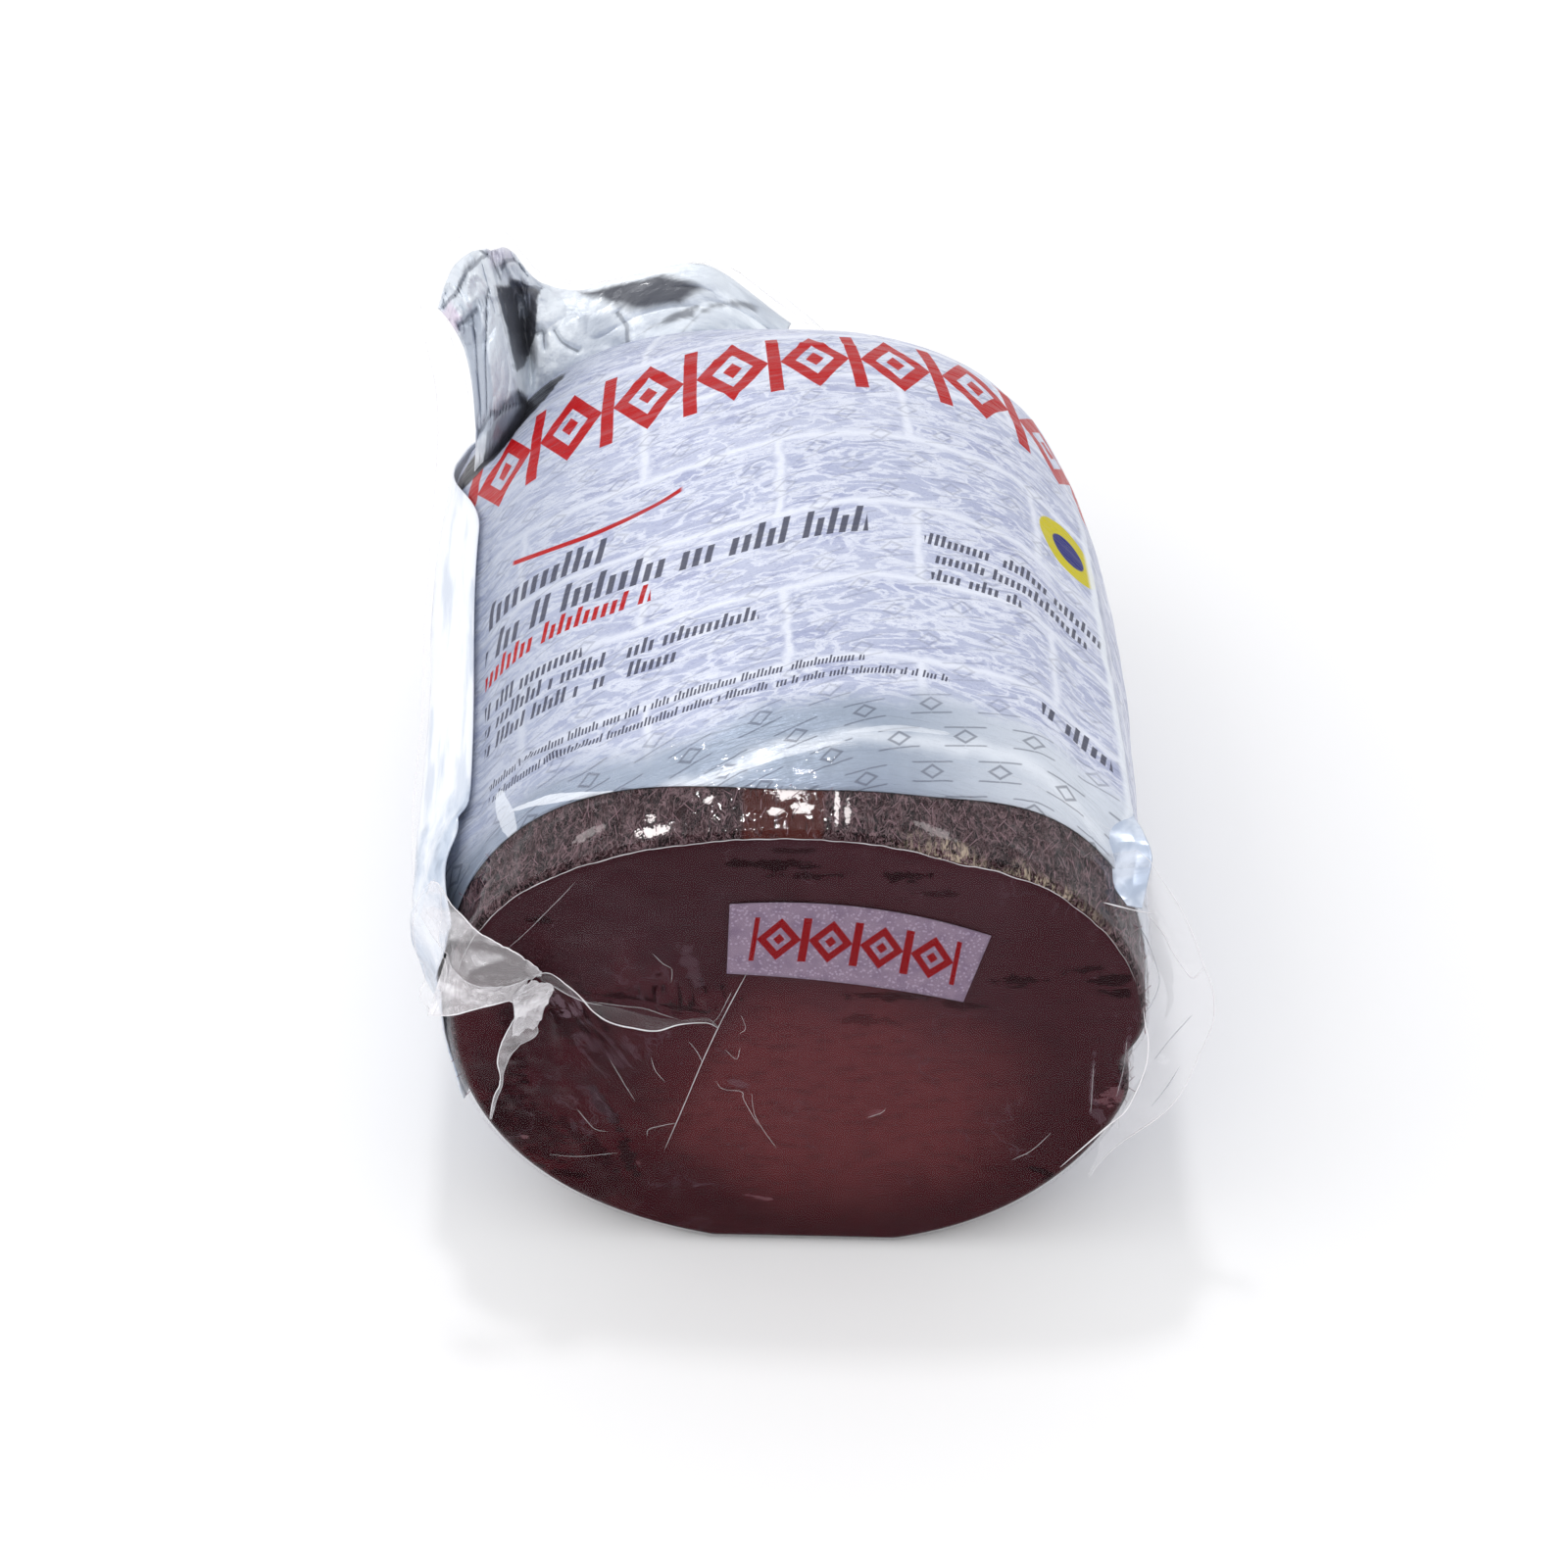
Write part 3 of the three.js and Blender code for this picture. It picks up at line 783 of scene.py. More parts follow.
@dataclass(frozen=True)
class BeefFinish:
    """Cured beef seen through tight film: dark maroon, browner to the right, with a painted sheen of the film
    that grows towards the top.
    """

    middle: Colour = paint(88, 39, 42)
    plain: Colour = paint(50, 14, 20)
    dark: Colour = paint(26, 4, 8)
    red: Colour = paint(64, 12, 19)
    # haze: the colour of the painted sheen of the film; the pale veins and specks take it too.
    haze: Colour = paint(96, 74, 84)
    fat: Colour = paint(124, 84, 92)
    light_centre: Spot = (8, 39)
    light_reach: Spot = (35, 26)
    dotted_edge: float = -20.0
    sheen_foot: float = 10.0
    sheen_top: float = 95.0
    stains_and_wrinkle_shade: tuple[Patch, ...] = (
        Patch(-4.9, 99, 17, 2.6, 1), Patch(2, 96.4, 12, 1.8, 0.9), Patch(-2, 102.5, 9, 1.4, 0.7),
        Patch(20.5, 96.5, 9, 2.6, 1), Patch(28, 92.5, 8, 1.8, 0.7), Patch(-2, 89, 22, 1.6, 0.5),
        Patch(-52, 84, 5, 2, 0.8), Patch(44.9, 71.1, 9, 3.2, 0.9), Patch(33.2, 64.5, 9, 2.6, 0.7),
        Patch(57.5, 74, 8, 1.6, 0.9, 0.2), Patch(62.7, 71.5, 9, 3, 1), Patch(64.5, 68, 6, 2.8, 1),
        Patch(19, 66, 18, 2, 0.8), Patch(14, 60, 9, 3.4, 0.45), Patch(68, 46, 3.4, 9, 1),
        Patch(-56, 30, 12, 20, 0.7, 0.7), Patch(52.7, 19.7, 9, 1.5, 1, -0.45),
        Patch(54.5, 17.6, 5, 2.2, 0.9, -0.3), Patch(-40, 35.4, 2.6, 13, 0.9, 0.5),
        Patch(-35.2, 22, 3, 12, 0.9, 0.2), Patch(-44, 26, 16, 4, 0.7, -0.9),
        Patch(-50, 17.5, 11, 2.2, 0.8, -0.3), Patch(-47.5, 57, 5, 12, 0.6, 0.5),
        Patch(-36, 64.8, 14, 1.3, 0.9, -0.12), Patch(-24, 62.2, 12, 1.2, 0.9, -0.2),
        # The three patches with a comb, from here on, are painted shade of the film's wrinkles.
        Patch(-58.5, 51, 4.5, 22, 0.5, 0.1), Patch(-26, 65, 24, 9, 1, 0.1, 1.3),
        Patch(-46, 60, 14, 18, 1, 0.5, 1.5), Patch(-58.5, 42, 26, 5, 1, 1.5, 1.1),
    )
    fats: tuple[Patch, ...] = (
        Patch(66, 40.5, 6.5, 5, 0.45), Patch(68.8, 39, 3, 1.6, 0.8),
        Patch(-7.7, 11.5, 5.5, 1.2, 0.45, -0.2), Patch(16.6, 35.6, 3.6, 1.3, 0.3, 0.4),
        Patch(-57, 27, 1.5, 1.2, 0.5), Patch(-33, 20.5, 1.6, 1.6, 0.3),
    )
    # Painted sheen: highlights of the film in streaks and combs.
    sheen_patches: tuple[Patch, ...] = (
        Patch(-48.2, 62, 1.7, 6.5, 0.9, 0.45), Patch(-42.5, 52.5, 3, 8, 0.2, 0.8),
        Patch(-35, 52, 3, 4, 0.2, 0.5), Patch(60.9, 44, 0.9, 15, 0.45, 0),
        Patch(67.3, 51, 1.1, 18, 0.4, -0.08), Patch(62.5, 36, 2.4, 6, 0.4, 0.3),
        Patch(-42, 37.5, 3.4, 13, 0.2, 0.5), Patch(-22, 74, 3, 12, 0.3, 0.3),
        Patch(-12, 42.5, 5.5, 1.6, 0.35, -0.3), Patch(-47, 63, 7, 9, 0.9, 0.5, 1.2),
        Patch(-40, 51, 12, 16, 0.35, 0.6, 1.6),
    )

    def material(self) -> Finish:
        """Builds the finish of the cut face on its film coordinates."""
        g = ShadeGraph("cured_beef")
        film = g.film()
        x, up = g.split(film)[:2]
        rough = g.line(g.noise(g.scaled(film, 1, 2), 0.28, 5, roughness=0.65), 9, -4.5)
        cloud = g.noise(film, 0.045, 3)
        dx = g.over(g.minus(x, self.light_centre[0]), self.light_reach[0])
        dy = g.over(g.minus(up, self.light_centre[1]), self.light_reach[1])
        reach = g.plus(g.times(dx, dx), g.times(dy, dy))
        reach = g.plus(reach, g.line(cloud, 1.2, -0.6))
        g.colour = g.mix(g.rise(reach, 0.1, 1.9), self.middle, self.plain)
        grain = g.noise(film, (0.16, 0.6), 5, roughness=0.65)
        g.coat(self.dark, g.rise(grain, 0.45, 0.72), 0.4)
        edge = g.line(up, -0.42, g.line(rough, 0.8, x))
        left = g.rise(edge, self.dotted_edge - 14, self.dotted_edge - 24)
        patchy = g.rise(g.noise(film, 0.06, 3), 0.42, 0.56)
        dots = g.rise(g.cells(g.scaled(film, 1, 1.3), 1.35), 0.5, 0.15)
        g.coat(self.dark, left, 0.3)
        low = g.rise(up, 86, 70)
        g.coat(self.red, left, patchy, low, 0.5)
        g.coat(self.dark, left, patchy, low, dots, 0.22)
        # Painted sheen of the film, stronger towards the top.
        veil = g.times(g.rise(up, self.sheen_foot, self.sheen_top), 0.15)
        veil = g.times(veil, g.line(g.rise(cloud, 0.35, 0.65), 0.5, 0.7))
        g.coat(self.haze, veil)
        # Dark stains, and painted shade in the film's wrinkles.
        g.coat(self.dark, patch_mask(g, x, up, self.stains_and_wrinkle_shade, rough), 0.9)
        g.coat(self.fat, patch_mask(g, x, up, self.fats, rough))
        # Painted sheen patches.
        g.coat(self.haze, patch_mask(g, x, up, self.sheen_patches, rough))
        vein = g.size(g.minus(g.noise(film, 0.07, 4), 0.5))
        sparse = g.rise(g.noise(film, 0.05, 2), 0.5, 0.62)
        g.coat(self.haze, g.rise(vein, 0.01, 0), sparse, 0.35)
        specks = g.rise(g.cells(film, 0.3), 0.1, 0.06)
        g.coat(self.haze, specks, g.rise(g.noise(film, 0.11, 1), 0.48, 0.58), 0.5)
        relief = g.times(dots, g.all_of(left, patchy, low, 0.35))
        relief = g.plus(relief, g.times(grain, 0.5))
        return g.surface(
            Roughness=g.line(grain, 0.15, 0.3), Specular_IOR_Level=0.03,
            Normal=g.bump(relief, 0.35, 0.0005),
        )


@dataclass(frozen=True)
class CasingFinish:
    """The joint's own casing: purple-brown felt with pale fibres along the length."""

    base: Colour = paint(37, 17, 21)
    dark: Colour = paint(11, 4, 6)
    fibre: Colour = paint(150, 122, 128)
    amber: Colour = paint(68, 26, 20)
    cream: Colour = paint(188, 172, 152)
    glint: Colour = paint(238, 230, 230)
    amber_span: tuple[float, float] = (-11.5, 5.2)
    glints: tuple[Patch, ...] = (
        Patch(-2.2, 11, 5.5, 3.2), Patch(0.4, 7.2, 4, 3), Patch(-5, 6.2, 3, 2), Patch(7.4, 8.5, 1, 11),
        Patch(9.6, 7, 1.2, 6, 0.8), Patch(-29, 3.6, 7, 2.4), Patch(-29.8, 7.2, 1.8, 1.8),
        Patch(-18.2, 10, 2, 2), Patch(27, 6, 7, 2.2, 0.2, -0.2), Patch(-42, 7, 6, 2, 0.2, 0.3),
    )

    def material(self) -> Finish:
        """Builds the finish on the joint's own coordinates."""
        g = ShadeGraph("beef_casing")
        place = g.place()
        x, y, z = g.split(place)
        streak = g.noise(place, (0.8, 0.16, 0.8), 6, roughness=0.7, distortion=0.5)
        cloud = g.noise(place, 0.09, 4)
        g.colour = g.mix(g.rise(streak, 0.43, 0.57), self.dark, self.base)
        wool = g.noise(place, (0.42, 0.2, 0.42), 7, roughness=0.8, distortion=1.2)
        pale = g.all_of(g.rise(wool, 0.5, 0.62), g.rise(cloud, 0.34, 0.56), 0.34)
        g.coat(self.fibre, pale)
        for fineness, slim, share in ((0.25, 0.022, 0.4), (0.5, 0.03, 0.3)):
            swirl = g.noise(place, (fineness, fineness / 2, fineness), 4, distortion=2.5)
            strand = g.rise(g.size(g.minus(swirl, 0.5)), slim, slim / 3)
            g.coat(self.fibre, strand, share)
        sway = g.line(cloud, 3, -1.5)
        across = g.within(g.plus(x, sway), *self.amber_span, 0.8)
        g.coat(self.amber, across, g.rise(z, 80, 90), g.rise(streak, 0.36, 0.5), 0.85)
        front = g.minus(y, g.times(z, math.tan(SHAPE.lean)))
        reach = g.line(cloud, 14, -3)
        rim = g.rise(g.minus(front, reach), 0.5, -2.5)
        rim = g.all_of(rim, g.within(x, 24, 58, 8), g.rise(z, 66, 76))
        hairs = g.noise(g.scaled(place, 1, 0.25, 1), 1.1, 6, roughness=0.7, distortion=0.8)
        g.coat(self.cream, rim, g.rise(hairs, 0.46, 0.6), 0.75)
        ragged = g.line(g.noise(place, 0.7, 5, roughness=0.8), 9, -4.6)
        g.coat(self.glint, patch_mask(g, x, front, self.glints, ragged))
        wet = g.noise(g.scaled(place, 0.6, 0.2, 0.6), 0.5, 3)
        return g.surface(
            Roughness=0.6, Specular_IOR_Level=0.04, Coat_Weight=0.07, Coat_Roughness=0.05,
            Coat_Normal=g.bump(wet, 0.8, 0.004), Normal=g.bump(streak, 0.6, 0.0006),
        )


@dataclass(frozen=True)
class StrokeRow:
    """A row of upright strokes that fills the place of small print."""

    base: float
    height: float
    left: float
    right: float
    cell: float
    red: bool = False


@dataclass(frozen=True)
class PrintFinish:
    """Silver film with lavender blocks, a red ornament band and rows of grey marks, with painted highlights
    and painted shade.
    """

    silver: Colour = paint(150, 161, 179)
    # silver_dark: darker towards the cut edge, and painted shade on the left side and beside the pleat's
    # crest.
    silver_dark: Colour = paint(132, 142, 162)
    # bright: the colour of the painted highlights on the margin, the right side, the pleat's crest and the
    # glares, and of the lighter streaks on the gathers.
    bright: Colour = paint(226, 231, 240)
    stone: Colour = paint(172, 178, 202)
    stone_other: Colour = paint(185, 190, 211)
    stone_deep: Colour = paint(141, 147, 182)
    joint_line: Colour = paint(214, 218, 231)
    far_end: float = 192.5
    red: Colour = paint(168, 8, 14)
    grey: Colour = paint(60, 62, 80)
    yellow: Colour = paint(192, 180, 20)
    blue: Colour = paint(36, 38, 112)
    slant: float = 0.22
    course: float = 22.3
    block: float = 58.0
    first_course: float = 30.0
    margin: float = 40.0
    band: tuple[float, float] = (134, 163)
    band_ends: tuple[float, float] = (-86, 90)
    rows: tuple[StrokeRow, ...] = (
        StrokeRow(97.5, 7, -71, -38, 2.6), StrokeRow(87, 7.5, -71, 17, 2.6),
        StrokeRow(80.5, 5.5, -71, -29, 2, True), StrokeRow(71.5, 4, -71, -44, 1.5),
        StrokeRow(66.5, 4, -71, -7, 1.5), StrokeRow(61, 4, -71, -24, 1.5), StrokeRow(50, 2.2, -69, 15, 0.8),
        StrokeRow(46.2, 2.2, -69, 33, 0.8), StrokeRow(85, 3.5, 29, 74, 1.4),
        StrokeRow(79.8, 3.5, 31, 67, 1.4), StrokeRow(74.5, 3.5, 30, 50, 1.4), StrokeRow(46, 5, 53, 69, 2),
    )
    # dark and gaps: painted shadow in the gap beside the tail.
    dark: Colour = paint(44, 44, 50)
    gaps: tuple[Patch, ...] = (Patch(-72, 168, 38, 16, 1, 0.5),)
    glares: tuple[Patch, ...] = (
        Patch(-50, 36, 26, 2, 0.8, -0.3), Patch(-57, 27, 14, 2.4, 0.7, -0.5),
        Patch(-36, 25, 20, 1.4, 0.7, -0.2), Patch(-8, 27.5, 40, 2, 0.6, 0),
        Patch(22, 31, 24, 1.6, 0.5, 0.1), Patch(-64, 40, 4, 16, 0.6, 0.3),
    )
    disc: Spot = (66, 109.5)
    disc_radius: float = 7.5

    def strokes(self, g: ShadeGraph, u: object, v: object, row: StrokeRow) -> Wire:
        """Mask of one row of slanted strokes, low and high ones mixed, with gaps between groups."""
        level = g.over(g.minus(v, row.base), row.height)
        across = g.over(g.line(level, -self.slant * row.height, u), row.cell)
        column = g.math("FLOOR", across)
        high = g.math("GREATER_THAN", g.chance(g.join(column, row.base, 1)), 0.68)
        top = g.line(high, 0.32, 0.68)
        drawn = g.math("GREATER_THAN", g.chance(g.join(column, row.base, 3)), 0.15)
        upright = g.within(g.math("FRACT", across), 0.1, 0.66, 0.06)
        tall = g.times(g.math("GREATER_THAN", level, 0), g.math("LESS_THAN", level, top))
        return g.all_of(upright, tall, drawn, g.within(u, row.left, row.right, 0.12))

    def marks(self, g: ShadeGraph, u: object, v: object) -> Wire:
        """Mask of the small lozenges in staggered, rising rows."""
        slanted = g.line(u, -0.27, v)
        line = g.over(slanted, 9)
        shift = g.times(g.math("FLOOR", line), 0.5)
        across = g.math("FRACT", g.plus(g.over(u, 14.5), shift))
        across = g.size(g.line(across, 14.5, -7.25))
        upward = g.size(g.line(g.math("FRACT", line), 9, -4.5))
        size = g.plus(g.times(across, 0.75), upward)
        tail = g.times(g.within(upward, 2.3, 2.7, 0.15), g.within(across, 0, 4.5, 0.3))
        return g.any_of(g.within(size, 1.3, 2, 0.2), tail)

    def stones(self, g: ShadeGraph, film: Wire) -> Wire:
        """Colour of the block pattern."""
        sway = g.line(g.noise(film, 0.05, 2), 5, -2.5)
        sway = g.line(g.noise(film, 0.3, 3), 2.6, sway)
        u, v = g.split(film)[:2]
        at = g.join(g.plus(u, sway), g.plus(v, g.line(sway, 0.7, -self.first_course)))
        inputs = {"Vector": at, "Color1": self.stone, "Color2": self.stone_other, "Mortar": self.joint_line}
        inputs.update({"Scale": 1, "Mortar Size": 1.9, "Mortar Smooth": 0.9})
        inputs.update({"Brick Width": self.block, "Row Height": self.course})
        bricks = g.add("ShaderNodeTexBrick", inputs, offset=0.5)
        g.colour = bricks.outputs["Color"]
        inside = g.minus(1, bricks.outputs["Fac"])
        deep = g.rise(g.noise(film, (0.05, 0.16), 6, roughness=0.7), 0.48, 0.6)
        g.coat(self.stone_deep, inside, deep, 0.55)
        vein = g.rise(g.noise(film, (0.1, 0.32), 5, roughness=0.7), 0.52, 0.6)
        g.coat(self.joint_line, inside, vein, 0.8)
        speckle = g.rise(g.noise(film, 0.9, 3, roughness=0.8), 0.56, 0.66)
        g.coat(self.stone_deep, inside, speckle, 0.12)
        worm = g.size(g.minus(g.noise(film, (0.09, 0.26), 4, distortion=1.2), 0.5))
        g.coat(self.joint_line, inside, g.rise(worm, 0.07, 0.02), 0.75)
        scratch = g.size(g.minus(g.noise(film, (0.3, 0.8), 4, distortion=1.5), 0.47))
        g.coat(self.stone_deep, inside, g.rise(scratch, 0.022, 0.004), 0.5)
        return g.colour

    def bare_film(self, g: ShadeGraph, film: Wire, edge: Wire, end: Wire) -> Wire:
        """Colour of the silver film without print, in the front margin and gathered at the far end, with a
        painted highlight band in the margin, darker towards the cut edge, painted light on the right side and
        lighter streaks on the gathers.
        """
        u, v = g.split(film)[:2]
        # Painted highlight band in the margin.
        g.colour = g.mix(g.times(g.within(edge, 27, 30, 2.5), 0.8), self.silver, self.bright)
        g.coat(self.silver_dark, g.rise(v, 23, 13), 0.6)
        # Painted light: the right side is lighter.
        g.coat(self.bright, g.rise(u, 15, 60), 0.65)
        gathers = g.rise(g.noise(film, (0.14, 0.012), 3), 0.4, 0.62)
        g.coat(g.mix(g.times(gathers, 0.6), self.silver, self.bright), end)
        return g.colour

    def red_marks(self, g: ShadeGraph, u: Wire, v: Wire) -> Wire:
        """Mask of the ornament band, the curved line and the red row."""
        low, high = self.band
        ornament = g.lozenges(u, g.minus(v, (low + high) / 2), 19.6, high - low)
        ends = g.within(u, *self.band_ends, 0.2)
        swash = g.minus(v, g.line(g.math("POWER", g.plus(u, 43), 2), 0.012, 107))
        swash = g.times(g.within(swash, -0.7, 0.7, 0.15), g.within(u, -62, -22, 0.5))
        rows = (self.strokes(g, u, v, row) for row in self.rows if row.red)
        return g.any_of(g.times(ornament, ends), swash, *rows)

    def disc_coats(self, g: ShadeGraph, u: Wire, v: Wire) -> None:
        """Lays the yellow disc and its blue middle."""
        across, upward = g.minus(u, self.disc[0]), g.minus(v, self.disc[1])
        away = g.math("SQRT", g.plus(g.times(across, across), g.times(upward, upward)))
        g.coat(self.yellow, g.rise(away, self.disc_radius + 0.2, self.disc_radius - 0.2))
        g.coat(self.blue, g.rise(away, self.disc_radius * 0.55, self.disc_radius * 0.5))

    def lights(self, g: ShadeGraph, film: Wire) -> None:
        """Lays the painted highlight along the pleat's crest with painted shade beside it, the painted glares
        in front and the painted shadow in the gap beside the tail.
        """
        u, v = g.split(film)[:2]
        crest = g.minus(u, float(SHAPE.girth(np.radians(WRAP.pleat.angle))))
        shown = g.times(g.rise(v, 24, 34), g.rise(v, 150, 110))
        # Painted highlight along the pleat's crest, and painted shade beside it.
        g.coat(self.bright, g.within(crest, -1.2, 1.4, 0.7), shown, 0.85)
        g.coat(self.silver_dark, g.within(crest, 2.2, 4.5, 1), shown, 0.3)
        cloud = g.noise(film, 0.2, 3)
        # Painted glares, and painted shadow in the gap beside the tail.
        g.coat(self.bright, patch_mask(g, u, v, self.glares, g.line(cloud, 1.6, -0.8)))
        g.coat(self.dark, patch_mask(g, u, v, self.gaps, g.line(cloud, 1, -0.5)))

    def material(self) -> Finish:
        """Builds the finish on film coordinates."""
        g = ShadeGraph("printed_film")
        film = g.film()
        u, v = g.split(film)[:2]
        edge = g.plus(v, g.line(g.noise(film, (0.05, 0.02), 3), 14, -7))
        back = g.line(g.noise(film, 0.06, 3), 3, g.split(g.place())[1])
        end = g.rise(back, self.far_end + 1.5, self.far_end + 3)
        front = g.minus(1, end)
        printed = g.times(g.rise(edge, self.margin - 4, self.margin + 5), front)
        bare = self.bare_film(g, film, edge, end)
        g.colour = g.mix(printed, bare, self.stones(g, film))
        # Painted shade: the whole wrap darker towards its left side.
        g.coat(self.silver_dark, g.rise(u, -25, -70), 0.5)
        g.coat(self.grey, g.times(self.marks(g, u, v), front), g.line(printed, -0.32, 0.55))
        # The red thins in fine horizontal streaks: painted highlights of the film's wrinkles.
        red_under_sheen = g.line(g.rise(g.noise(film, (0.02, 0.5), 4), 0.66, 0.5), 0.07, 0.93)
        g.coat(self.red, self.red_marks(g, u, v), red_under_sheen)
        grey = g.any_of(*(self.strokes(g, u, v, row) for row in self.rows if not row.red))
        g.coat(self.grey, grey, 0.92)
        self.disc_coats(g, u, v)
        self.lights(g, film)
        creases = g.noise(film, (0.04, 0.5), 4, roughness=0.6)
        height = g.plus(creases, g.times(g.noise(film, 0.9, 3), 0.12))
        return g.surface(
            Metallic=g.line(printed, -0.25, 0.3), Roughness=0.34, Specular_IOR_Level=0.14, Coat_Weight=0.14,
            Coat_Roughness=0.08, Normal=g.bump(height, 0.6, 0.0016),
        )


@dataclass(frozen=True)
class WhiteFilmFinish:
    """The flap along the left side: white back of the wrap with streaks of painted shade, and crumpled foil
    at its front end with painted highlights and painted shade in its creases.
    """

    white: Colour = paint(226, 230, 238)
    shade: Colour = paint(168, 180, 200)
    foil: Colour = paint(178, 190, 208)
    # fold: painted shade in the foil's creases.
    fold: Colour = paint(130, 141, 160)
    foil_end: float = 44.0

    def material(self) -> Finish:
        """Builds the finish on film coordinates."""
        g = ShadeGraph("white_film")
        film = g.film()
        streaks = g.noise(film, (0.25, 0.03), 4)
        onward = g.line(g.noise(film, 0.15, 3), 16, g.split(film)[1])
        front = g.rise(onward, self.foil_end + 8, self.foil_end)
        # Painted shade in streaks over the white.
        g.colour = g.mix(g.times(g.rise(streaks, 0.5, 0.66), 0.55), self.white, self.shade)
        inputs = {"Vector": film, "Rotation": (0, 0, 0.6), "Scale": (0.14, 0.05, 1)}
        slanted = g.add("ShaderNodeMapping", inputs).outputs[0]
        creases = g.noise(slanted, 1, 4, roughness=0.6, distortion=0.4)
        # Painted highlights and painted shade along the foil's creases.
        foil = g.mix(g.rise(creases, 0.4, 0.68), self.foil, self.white)
        foil = g.mix(g.times(g.rise(creases, 0.46, 0.34), 0.8), foil, self.fold)
        g.coat(foil, front)
        return g.surface(
            Roughness=0.3, Coat_Weight=0.5, Coat_Roughness=0.08, Normal=g.bump(streaks, 0.4, 0.0015),
        )


TAIL_CREASES = (
    ((1.5, 32.3), (10.1, 30.2), (18.8, 31.4), (25.3, 32.9)), ((26.5, 25.9), (26.4, 15), (26.4, 10.9)),
    ((11.1, 24.8), (7.4, 19.9), (4.2, 13.9), (4.1, 8.6)),
    ((21.9, 26.5), (16, 21.4), (11.4, 16), (8.8, 9.8)), ((2, 25.9), (8.7, 25.4), (14.2, 25.2)),
    ((29.5, 30.4), (36.5, 32.4), (41.3, 33)), ((23, 34), (26.7, 31.9), (28, 28.9)),
    ((32.1, 28), (40.4, 29.3), (46.8, 32.1)), ((42.2, 19), (46.6, 19.5), (47.4, 14.8)),
    ((50.5, 19.7), (52.7, 16.3), (56.8, 13.5)), ((65.8, 19.9), (67.5, 14.5), (67.8, 9.4)),
    ((1.8, 5.8), (11.8, 8.3), (26.4, 2.4)),
)


def line_mask(g: ShadeGraph, film: object, lines: Sequence[Sequence[Spot]], width: float) -> Wire:
    """Mask of thin lines through spots.

    Args:
        g: the graph to build in.
        film: the film coordinates.
        lines: the spots of each line.
        width: half the width of a line.

    Returns:
        The mask.
    """

    def step(operation: str, *values: object) -> Wire:
        """One vector step."""
        node = g.add("ShaderNodeVectorMath", dict(enumerate(values)), operation=operation)
        return node.outputs["Value" if operation in ("DOT_PRODUCT", "DISTANCE") else "Vector"]

    masks = []
    for line in lines:
        for start, end in zip(line, line[1:]):
            run = Vector((*end, 0)) - Vector((*start, 0))
            away = step("SUBTRACT", film, (*start, 0))
            onward = step("DOT_PRODUCT", away, tuple(run))
            share = g.math("MULTIPLY", onward, 1 / run.length_squared, clamp=True)
            nearest = step("MULTIPLY", g.join(share, share, share), tuple(run))
            masks.append(g.rise(step("DISTANCE", away, nearest), width, width / 3))
    return g.any_of(*masks)


